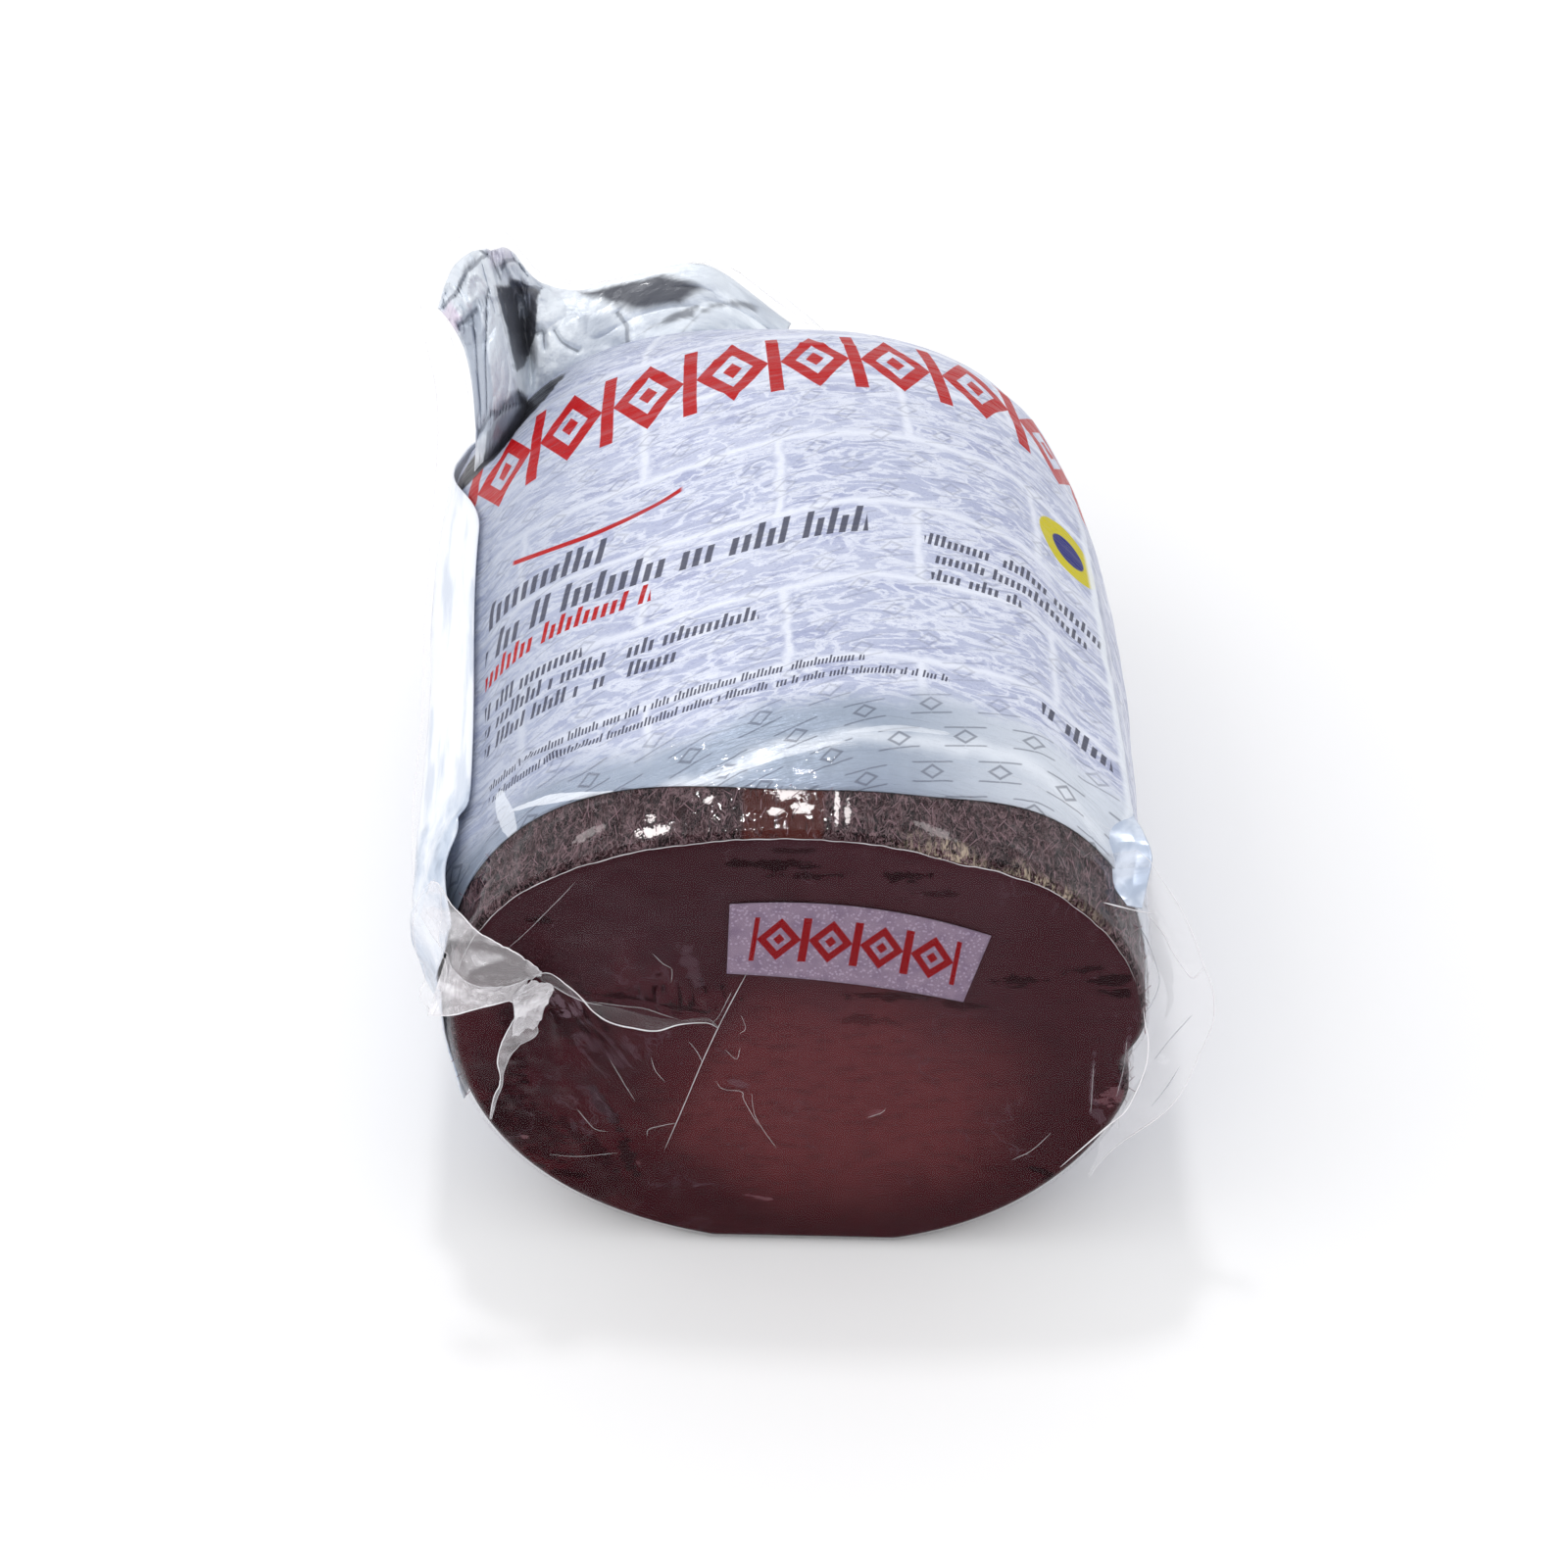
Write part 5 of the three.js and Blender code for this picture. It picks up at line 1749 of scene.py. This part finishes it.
@dataclass
class FaceFilm:
    """Clear film stretched over the cut face and round the strip of casing."""

    columns: int = 360
    face_rows: int = 100
    side_rows: int = 36
    height: float = 0.8
    thickness: float = 0.15
    reach: float = 24.0
    front: ClearFinish = ClearFinish("face_film", straight=0.0015, edge=0.3, haze=0, metal=1)
    side: ClearFinish = ClearFinish(
        "side_film", straight=0.009, edge=0.2, haze=0, metal=1, roughness=0.05, wrinkle=0.001
    )

    def wrinkles(self, x: Array, up: Array) -> Array:
        """Heights of the creases over the cut face."""
        noise = Crumple(41)
        above_fold = hill(x + 24, 9) * hill(up - 65, 5)
        beside_knot = hill(x + 50, 7) * hill(up - 58, 12)
        comb = noise.folds(x / 2.6 + up / 30, up / 11, 2) * 0.7 * (above_fold + beside_knot)
        rungs = noise.folds(x / 9, up / 2.2, 2) * 0.5 * hill(x + 58, 4) * hill(up - 42, 12)
        left = noise.layers(x / 6, up / 7, 3) * 0.25 * smoothstep(-x, 5, 45)
        return comb + rungs + left + 0.08 * noise.layers(x / 14, up / 14, 2)

    def side_heights(self, along: Array, behind: Array, angle: Array) -> Array:
        """Heights of the film above the side, over the casing and on to the wrap."""
        ripple = Crumple(43).folds(np.degrees(angle) / 3.4, behind / 9, 3) * 0.55
        close = smoothstep(behind, 0, 6)
        height = self.height * (1 - close) + (0.55 + ripple) * close
        edge = WRAP.edge(angle)
        return height + smoothstep(behind, edge - 1, edge + 5) * (WRAP.height(along, angle) - 0.4)

    def build(self) -> Piece:
        """Makes the film."""
        angle = np.linspace(0, 2 * math.pi, self.columns, endpoint=False)
        centre, face, _ = SHAPE.face(angle, self.face_rows)
        out = np.array([0, -math.cos(SHAPE.lean), math.sin(SHAPE.lean)])
        lift = self.height + self.wrinkles(face[..., 0], face[..., 2] / math.cos(SHAPE.lean))
        behind = np.linspace(0.8, self.reach, self.side_rows)[:, None]
        along = SHAPE.along_of(behind, angle[None, :])
        height = self.side_heights(along, behind, angle[None, :])
        skins = []
        for depth in (0, self.thickness):
            over_face = face + out * (lift - depth)[..., None]
            skins.append(np.concatenate([over_face, SHAPE.raised(along, angle[None, :], height - depth)]))
        rings = np.concatenate([skins[0], skins[1][::-1]])
        flat = rings[..., [0, 2]]
        uv = np.concatenate([flat, flat[:, :1]], 1)
        tips = (centre + out * self.height, centre + out * (self.height - self.thickness))
        bands = np.zeros(len(rings) + 1, int)
        bands[self.face_rows + 1 : self.face_rows + 2 * self.side_rows] = 1
        piece = loft("film_face", rings, uv, tips, [self.front.material(), self.side.material()], bands)
        return finish_piece(piece, Slot.CLEAR, "vacuum_bag")


class Mist(Enum):
    """How much a piece of clear film hides what is behind it."""

    SHEER = ClearFinish("film_sheer", straight=0.02, edge=0.25, haze=0.02)
    THIN = ClearFinish("film_thin", straight=0.04, edge=0.2, haze=0.04, metal=0.4)
    PALE = ClearFinish("film_pale", straight=0.07, edge=0.2, haze=0.04, metal=0.5, wrinkle=0.0003)
    HANGING = ClearFinish("film_soft", straight=0.1, edge=0.35, haze=0.14, metal=0.4)
    MISTY = ClearFinish("film_misty", straight=0.12, edge=0.35, haze=0.38, metal=0.2)
    MILKY = ClearFinish("film_milky", straight=0.28, edge=0.4, haze=0.4, metal=0.2)
    LINE = ClearFinish("film_line", straight=0.75, edge=0.25, haze=0)
    HAIR = ClearFinish("film_hair", straight=0.3, edge=0.3, haze=0)
    SCRATCH = ClearFinish("film_scratch", straight=0.16, edge=0.15, haze=0)
    SHADE = ClearFinish("film_shade", paint(150, 154, 164), straight=0.35, edge=0.3, haze=0)

    @cache
    def material(self) -> Finish:
        """The material of this kind of film, made once."""
        return self.value.material()


@dataclass(frozen=True)
class Leaf:
    """A free sheet of film between two curves."""

    name: str
    mist: Mist
    outer: tuple[Point, ...]
    inner: tuple[Point, ...]
    crumple: float = 0.8
    folds: float = 9.0
    columns: int = 120
    rows: int = 34
    seed: int = 1
    inner_line: float = 1.0

    def grid(self) -> Array:
        """Points of the sheet, rows from the inner curve to the outer one."""
        place = np.linspace(0, 1, self.columns)
        inner, outer = smooth_curve(self.inner, place), smooth_curve(self.outer, place)
        share = np.linspace(0, 1, self.rows)[:, None, None]
        grid = inner[None] + (outer - inner)[None] * share
        u, v = place[None, :] * self.folds, share[..., 0] * self.folds / 3
        relief = (Crumple(self.seed).folds(u, v, 3) - 0.5) * self.crumple
        return grid + grid_normals(grid) * relief[..., None]


def on_face_curve(spots: Sequence[Spot], first: float, last: float) -> tuple[Point, ...]:
    """Points over the cut face, at heights that run from the first to the last one."""
    flat = np.array(spots)
    heights = np.linspace(first, last, len(flat))
    return tuple(tuple(p) for p in SHAPE.on_face(flat[:, 0], flat[:, 1], heights))


LEAF_TOP = (
    (-73.9, 20, 90.1), (-71.9, 18.5, 90.4), (-69.6, 17, 86.5), (-67, 15.5, 84.1), (-64.2, 14, 81.7),
    (-61.2, 12.5, 80.7), (-58.2, 11.5, 79.6), (-54.8, 10, 78.3), (-52.4, 9, 76.8), (-51.3, 8.5, 75.7),
)
LEAF_FOOT = (
    (-75.9, 16, 84.1), (-73.1, 14, 79.1), (-70.6, 12, 77), (-69.7, 10, 75.4), (-67.3, 8.5, 73.3),
    (-64.4, 7.5, 72.4), (-61, 7.5, 72.2), (-57.5, 7.5, 73), (-53.9, 8, 74.4), (-51.5, 8.5, 75.4),
)
LOBE_FOOT = (
    (-74.4, 3, 68.4), (-69.5, 3, 68.6), (-65.5, 4, 69.1),
    (-61.5, 5, 69.6), (-58.3, 6.5, 69.2), (-56.9, 7, 67.7),
)
VEIL_EDGE = (
    (-73.3, 20, 90.7), (-76.1, 18.5, 86.5), (-77.4, 16, 81.7), (-77, 13, 77.5), (-75.2, 10, 73.3),
    (-75.9, 6.5, 70.8), (-74.4, 4, 68),
)
VEIL_ROOT = (
    (-71.9, 18.5, 90.4), (-71.5, 16, 85.7), (-72, 13, 81.6), (-71.5, 10.5, 78.5), (-70.4, 8.5, 76.3),
    (-71.4, 6, 73), (-73.3, 3, 68.2),
)
KNOT_RIGHT = ((-53.4, 7.5, 74.6), (-51.4, 7.2, 73.9), (-49.2, 8.2, 71.6), (-50.7, 8, 66.6), (-52.9, 8, 60))
KNOT_LEFT = ((-55.6, 7.5, 72.4), (-57.2, 6.8, 70), (-57.2, 6.6, 67), (-57.4, 7, 62), (-58.2, 7.4, 57.4))
HANG_LEFT = on_face_curve(
    (
        (-57.1, 62.7), (-59.1, 58.5), (-60.6, 54.3), (-61.5, 49.5), (-61.1, 45.4), (-61.4, 42.4),
        (-62.8, 38.7), (-63.9, 32.6)
    ),
    4.5, 1.1,
)
HANG_RIGHT = on_face_curve(
    (
        (-53.3, 61.4), (-53.1, 57.5), (-56.7, 54.2), (-58.9, 50.8), (-60.2, 46.6), (-60.9, 42.4),
        (-62.2, 38.2), (-63.5, 32.6)
    ),
    4, 1.1,
)
FOLD_TOP = on_face_curve(
    (
        (-53.1, 72.4), (-50.4, 72.8), (-47.7, 70.7), (-44.1, 66.5), (-41.4, 62.5), (-37.8, 59.6),
        (-32.3, 58), (-28.6, 57.5), (-24, 59.1), (-18.7, 59.5), (-16.2, 58.1)
    ),
    3.2, 1.2,
)
FOLD_FOOT = on_face_curve(
    (
        (-51.6, 69.8), (-49.6, 68.4), (-46, 65.8), (-42.3, 64.2), (-39.5, 63.6), (-36.8, 63.1),
        (-32.3, 61.5), (-27.7, 60.4), (-23.5, 60), (-18.7, 60.6), (-16.2, 58.3)
    ),
    1.8, 1,
)
LONG_CREASE = ((-9.8, 73.5), (-12.9, 66.1), (-16, 58.4), (-19.5, 48.8), (-23.3, 37.3), (-27.5, 25))
SHORT_CREASE = ((-44.5, 94.5), (-46.9, 91.3), (-50.4, 87), (-54.6, 81.8), (-58.9, 77.1))
FINE_CREASES = (
    ((-38.5, 49.1), (-36.7, 45.1), (-35.5, 42.4), (-33.4, 38)), ((-30, 49.9), (-29.2, 46.5), (-27.2, 43.4)),
    ((-22.2, 54.2), (-20.7, 51.9), (-19.4, 48.8)),
    ((-16.8, 44.2), (-15.3, 41.9), (-11.4, 41.2), (-10.9, 39), (-7.8, 31.9)),
    ((-11.7, 52.9), (-12.5, 49.9), (-14.8, 52.4)),
    ((-31.2, 28.3), (-30.8, 30.5), (-28.2, 31.6), (-25, 32.5)),
    ((-45.6, 35.8), (-43.8, 32.8), (-42, 30.4), (-39.2, 29.7)), ((-51.9, 23.2), (-45.6, 22.8), (-37.4, 24)),
    ((-29.4, 77), (-27.3, 74.4), (-25.5, 72.9), (-25.7, 69.4)),
    ((-11.5, 61.6), (-10.6, 58.1), (-11.9, 56.5)), ((-13.4, 67.4), (-16.5, 60.3), (-18.3, 60.2)),
    ((-42.5, 64.3), (-36.1, 63.3), (-31.2, 62.7), (-27.5, 61.2), (-24.4, 60.1)),
    ((45, 24.1), (49.1, 26.9), (53, 31.8)), ((14.7, 34.9), (17.6, 36.3), (18.6, 37.7)),
    ((60.9, 50.8), (60.9, 44.1), (60.9, 37.4)), ((67.4, 57.5), (67.1, 49.6), (66, 41.6)),
    ((-9.4, 41), (-8.4, 34.3), (-4.2, 26.2)),
)
EAR_CREASES = (
    ((71, 28.5, 74.5), (74.6, 28, 69), (76.4, 26, 66.3), (79, 24, 63), (81, 22, 62.3), (83.2, 22, 66.5)),
    ((61.2, 22, 85.1), (65.5, 24, 81.4), (69.2, 27, 76.9), (72.8, 30, 72.9)),
    (
        (69.8, 8, 69), (70.5, 7, 64.6), (71.3, 6, 60.7), (71, 5, 52.9),
        (68, 3, 42.8), (64.1, 2, 38), (55, 0.5, 26),
    ),
)
EAR_FOLDS = (
    ((66.7, 26, 77.3), (69.9, 22, 75.8), (72, 18, 73), (73.3, 15, 69), (71.7, 11, 66.8), (70, 8, 67.2)),
    ((73.5, 8, 37.4), (76.5, 10, 41.5), (78.9, 12, 45.8)),
    ((73.7, 13, 46.7), (77, 16, 50), (81.3, 19, 54.2)),
)
LEAVES = (
    Leaf("film_leaf", Mist.MISTY, LEAF_TOP, LEAF_FOOT, 0.5, 7, seed=51),
    Leaf("film_veil", Mist.THIN, VEIL_EDGE, VEIL_ROOT, 0.7, 6, seed=52),
    Leaf("film_lobe", Mist.MILKY, LOBE_FOOT, LEAF_FOOT[2:9], 0.6, 6, seed=53),
    Leaf("film_knot", Mist.MILKY, KNOT_RIGHT, KNOT_LEFT, 0.9, 5, seed=54),
    Leaf("film_hanging", Mist.HANGING, HANG_LEFT, HANG_RIGHT, 0.3, 5, seed=55),
    Leaf("film_fold", Mist.SHEER, FOLD_TOP, FOLD_FOOT, 0.15, 6, seed=56, inner_line=0.4),
)


@dataclass
class RightEar:
    """Film that stands out from the rim of the cut face on the right."""

    foot: float = 14.0
    height: float = 74.0
    root: float = 62.0
    lean: float = 6.0
    reach: float = 20.0
    crown: float = 1.15
    front: float = 8.0
    sweep: float = 26.0
    sweep_power: float = 1.6
    ripple: float = 1.6
    waves: float = 5.0
    root_share: float = 0.62
    root_behind: float = 5.0
    root_above: float = 20.0
    start: float = 0.56
    taper: float = 0.3
    columns: int = 180
    rows: int = 60

    def grid(self) -> Array:
        """Points of the sheet: columns from foot to top, rows from its root outwards."""
        u = np.linspace(0, 1, self.columns)[None, :]
        first = 1 - (1 - self.start) * (0.06 + 0.94 * smoothstep(u, 0, self.taper))
        v = first + (1 - first) * np.linspace(0, 1, self.rows)[:, None]
        x = self.root + self.lean * u + self.reach * np.sin(math.pi * u**self.crown)
        outer = np.stack([x, self.front + self.sweep * u**self.sweep_power, self.foot + self.height * u], -1)
        inner = outer * np.array([self.root_share, 1, self.root_share])
        inner = inner + np.array([0, self.root_behind, self.root_above])
        grid = inner + (outer - inner) * v[..., None]
        grid[..., 1] += self.ripple * v * np.sin(self.waves * math.pi * u)
        noise = Crumple(61)
        grid[..., 1] += 1.2 * (noise.folds(u * 3.5, v * 2.2, 1) - 0.5)
        grid[..., 0] += 0.5 * noise.layers(u * 8, v * 3, 2) * smoothstep(v, 0.7, 1)
        return grid


@dataclass
class WrapCorner:
    """The flat corner of the wrap that stands out at the right of the cut face."""

    outer: tuple[Point, ...] = (
        (67.5, 60, 79.5), (68.1, 50, 81.9), (70.1, 42, 84.1),
        (71.6, 36, 83.7), (70.6, 30, 82.6), (69.4, 25, 80.1),
    )
    inner: tuple[Point, ...] = (
        (61.7, 60, 82.3), (61.7, 50, 84.1), (62.3, 42, 83.9),
        (63.1, 36, 81.3), (63.9, 30, 80.9), (66.4, 25.5, 80.3),
    )
    silver: Colour = paint(164, 176, 196)
    bright: Colour = paint(206, 214, 228)

    def build(self) -> Piece:
        """Makes the corner."""
        grid = Leaf("wrap_corner", Mist.THIN, self.outer, self.inner, 0.14, 2.5, seed=91).grid()
        g = ShadeGraph("corner_foil")
        tone = g.rise(g.noise(g.place(), 0.15, 3), 0.4, 0.65)
        g.colour = g.mix(tone, self.silver, self.bright)
        material = g.surface(Metallic=0.2, Roughness=0.3, Coat_Weight=0.25, Coat_Roughness=0.1)
        piece = sheet("wrap_corner", grid, 0.3, grid[..., [0, 2]], material)
        return finish_piece(piece, Slot.PRINT, "printed_wrap")


@dataclass
class FreeFilm:
    """The film's ears, seams, tail border and the bright lines along its edges and creases."""

    thickness: float = 0.15
    seam_width: float = 2.4
    seam_root: float = 1.0
    left_stations: tuple[float, ...] = (0.08, 0.24, 0.4, 0.55, 0.68)
    right_stations: tuple[float, ...] = (0.95, 0.86, 0.72, 0.57, 0.4, 0.22, 0.015)
    left_angle: float = math.radians(165)
    right_angle: float = math.radians(-24)
    left_outer: tuple[Point, ...] = ((-85, 168, 83), (-89, 183, 98), (-89, 192, 107))
    left_inner: tuple[Point, ...] = ((-77, 166, 80), (-83, 184, 94), (-84, 190, 100))
    right_outer: tuple[Point, ...] = ((-10, 212, 84), (8, 211, 64))
    right_inner: tuple[Point, ...] = ((-12, 206, 76), (4, 196, 56))
    line_radius: float = 0.14
    hair_radius: float = 0.1
    fine_radius: float = 0.08
    lines: list[Array] = field(default_factory=list)
    hairs: list[Array] = field(default_factory=list)
    fines: list[Array] = field(default_factory=list)
    shades: list[Array] = field(default_factory=list)

    def spread(self, name: str, grid: Array, mist: Mist) -> None:
        """Makes one sheet of film."""
        piece = sheet(name, grid, self.thickness, grid[..., [0, 2]], mist.material())
        finish_piece(piece, Slot.CLEAR, "vacuum_bag")

    def seam(self, name: str, outer: Array, inner: Array) -> None:
        """Makes one seam: a narrow strip between two curves."""
        grid = Leaf(name, Mist.THIN, outer, inner, 0.5, 14, 220, 10, 71).grid()
        self.spread(name, grid, Mist.THIN)
        self.hairs.append(grid[-1])

    def on_wrap(self, stations: Sequence[float], angle: float, height: float) -> Array:
        """Points above the wrap's outside, at places along the joint."""
        along = np.array(stations)
        return SHAPE.raised(along, angle, WRAP.height(along, angle) + height)

    def seams(self) -> None:
        """Makes the seams along both sides, which stand on the wrap and run on to the tail."""
        heights = (self.seam_width, -self.seam_root)
        outer, inner = (self.on_wrap(self.left_stations, self.left_angle, height) for height in heights)
        self.seam("film_seam_left", np.vstack([outer, self.left_outer]), np.vstack([inner, self.left_inner]))
        outer, inner = (self.on_wrap(self.right_stations, self.right_angle, height) for height in heights)
        outer, inner = np.vstack([self.right_outer, outer]), np.vstack([self.right_inner, inner])
        self.seam("film_seam_right", outer, inner)

    def tail_border(self) -> None:
        """Makes the seal beyond the tail's top edge."""
        u = np.linspace(0, 1, 200)[None, :]
        v = np.linspace(0.9, 1.12, 24)[:, None]
        grid = Tail().point(u, v)
        grid[..., 0] += (u - 0.5) * 8 * smoothstep(v, 0.9, 1.12)
        grid[..., 1] += Crumple(81).folds(u * 9, v * 6, 3) - 0.5
        self.spread("film_tail_border", grid, Mist.THIN)
        self.fines.append(grid[-1])

    def left_ear(self) -> None:
        """Makes the bunched film at the left of the cut face, and its folds over the face."""
        for leaf in LEAVES:
            grid = leaf.grid()
            self.spread(leaf.name, grid, leaf.mist)
            bright = leaf.name not in ("film_veil", "film_knot")
            (self.lines if bright else self.hairs).append(grid[-1])
            self.hairs.append(grid[0][: int(leaf.columns * leaf.inner_line)])

    def right_ear(self) -> None:
        """Makes the ear at the right of the cut face."""
        grid = RightEar().grid()
        self.spread("film_ear_right", grid, Mist.PALE)
        self.lines.append(grid[-1])
        place = np.linspace(0, 1, 60)
        self.lines += [smooth_curve(crease, place) for crease in EAR_CREASES]
        self.shades += [smooth_curve(fold, place) for fold in EAR_FOLDS]

    def creases(self) -> None:
        """Adds the creases of the film over the cut face."""
        place = np.linspace(0, 1, 60)
        self.hairs.append(smooth_curve(on_face_curve(LONG_CREASE, 1, 0.8), place))
        self.fines.append(smooth_curve(on_face_curve(SHORT_CREASE, 0.9, 1), place))
        self.fines += [smooth_curve(on_face_curve(crease, 1.1, 1.1), place) for crease in FINE_CREASES]
        self.hairs.append(self.rim_line(math.radians(20), math.radians(166)))

    def rim_line(self, first: float, last: float) -> Array:
        """The bright line where the film turns over the rim, between two angles."""
        angle = np.linspace(first, last, 260)
        line = SHAPE.rim(angle, 0.5)
        line[:, 1] -= 0.7
        line[:, 2] += 0.4 + 0.4 * Crumple(97).layers(angle * 14, 0, 3)
        return line

    def build(self) -> None:
        """Makes all the pieces of free film."""
        self.left_ear()
        self.right_ear()
        self.seams()
        self.tail_border()
        self.creases()
        recipe = bead_recipe()
        for name, lines, radius, mist in (
            ("film_lines", self.lines, self.line_radius, Mist.LINE),
            ("film_hairlines", self.hairs, self.hair_radius, Mist.HAIR),
            ("film_scratches", self.fines, self.fine_radius, Mist.SCRATCH),
            ("film_shades", self.shades, self.hair_radius, Mist.SHADE),
        ):
            values = {"Radius": radius * MM, "Unevenness": 1.4, "Material": mist.material()}
            finish_piece(recipe.serve(lines_object(name + "_base", lines), name, values), Slot.CLEAR)


@dataclass(frozen=True)
class Lamp:
    """A square soft light that looks at the joint, with its place and size in metres."""

    name: str
    place: Point
    size: float
    power: float

    def build(self) -> None:
        """Hangs the lamp."""
        light = bpy.data.lights.new(self.name, "AREA")
        light.size = self.size
        light.energy = self.power
        lamp = bpy.data.objects.new(self.name, light)
        lamp.location = self.place
        lamp.rotation_euler = (Vector((0, 0, 0.05)) - Vector(self.place)).to_track_quat("-Z", "Y").to_euler()
        bpy.context.scene.collection.objects.link(lamp)


@dataclass
class Studio:
    """Camera, pale floor and soft light."""

    target: Point = (-4.587, 85.671, 50)
    distance: float = 900.0
    elevation: float = math.radians(47)
    yaw: float = 0.025
    lens: float = 94.755
    floor_size: float = 6.0
    floor_colour: Colour = (0.86, 0.86, 0.87)
    world: float = 0.94
    lamps: tuple[Lamp, ...] = (
        Lamp("key", (-0.8, -0.1, 1), 0.8, 2.4), Lamp("fill", (-0.35, -0.8, 1), 0.7, 1.7),
        Lamp("sparkle", (-0.12, 0.4, 1.1), 0.09, 2.6),
    )

    def camera(self) -> None:
        """Places the camera."""
        flat = math.cos(self.elevation)
        back = Vector((math.sin(self.yaw) * flat, -math.cos(self.yaw) * flat, math.sin(self.elevation)))
        right = Vector((0, 0, 1)).cross(back).normalized()
        turn = Matrix((right, back.cross(right), back)).transposed().to_4x4()
        place = Vector(to_row(np.array(self.target))) + back * self.distance * MM
        lens = bpy.data.cameras.new("camera")
        lens.lens = self.lens
        lens.sensor_width = 36
        lens.clip_start = 0.05
        camera = bpy.data.objects.new("camera", lens)
        camera.matrix_world = Matrix.Translation(place) @ turn
        bpy.context.scene.collection.objects.link(camera)
        bpy.context.scene.camera = camera

    def floor(self) -> None:
        """Makes the floor."""
        half = self.floor_size / 2
        mesh = bpy.data.meshes.new("floor")
        corners = [(-half, -half, 0), (half, -half, 0), (half, half, 0), (-half, half, 0)]
        mesh.from_pydata(corners, [], [(0, 1, 2, 3)])
        g = ShadeGraph("floor")
        mesh.materials.append(g.surface(Base_Color=self.floor_colour, Roughness=0.9, Specular_IOR_Level=0.1))
        link_object("floor", mesh)

    def build(self) -> None:
        """Sets up the whole studio."""
        self.camera()
        self.floor()
        for lamp in self.lamps:
            lamp.build()
        world = bpy.data.worlds.new("studio")
        world.use_nodes = True
        ground = world.node_tree.nodes["Background"]
        ground.inputs["Color"].default_value = (1, 1, 1, 1)
        ground.inputs["Strength"].default_value = self.world
        bpy.context.scene.world = world
        bpy.context.scene.view_settings.view_transform = "Standard"


def main() -> None:
    """Builds the dressed joint and its studio."""
    logging.basicConfig(level=logging.INFO, format="%(name)s: %(message)s")
    Joint().build()
    CasingFibres().build()
    PrintedWrap().build()
    SideFlap().build()
    Tail().build()
    FaceLabel().build()
    FaceFilm().build()
    WrapCorner().build()
    FreeFilm().build()
    Studio().build()


if __name__ == "__main__":
    main()
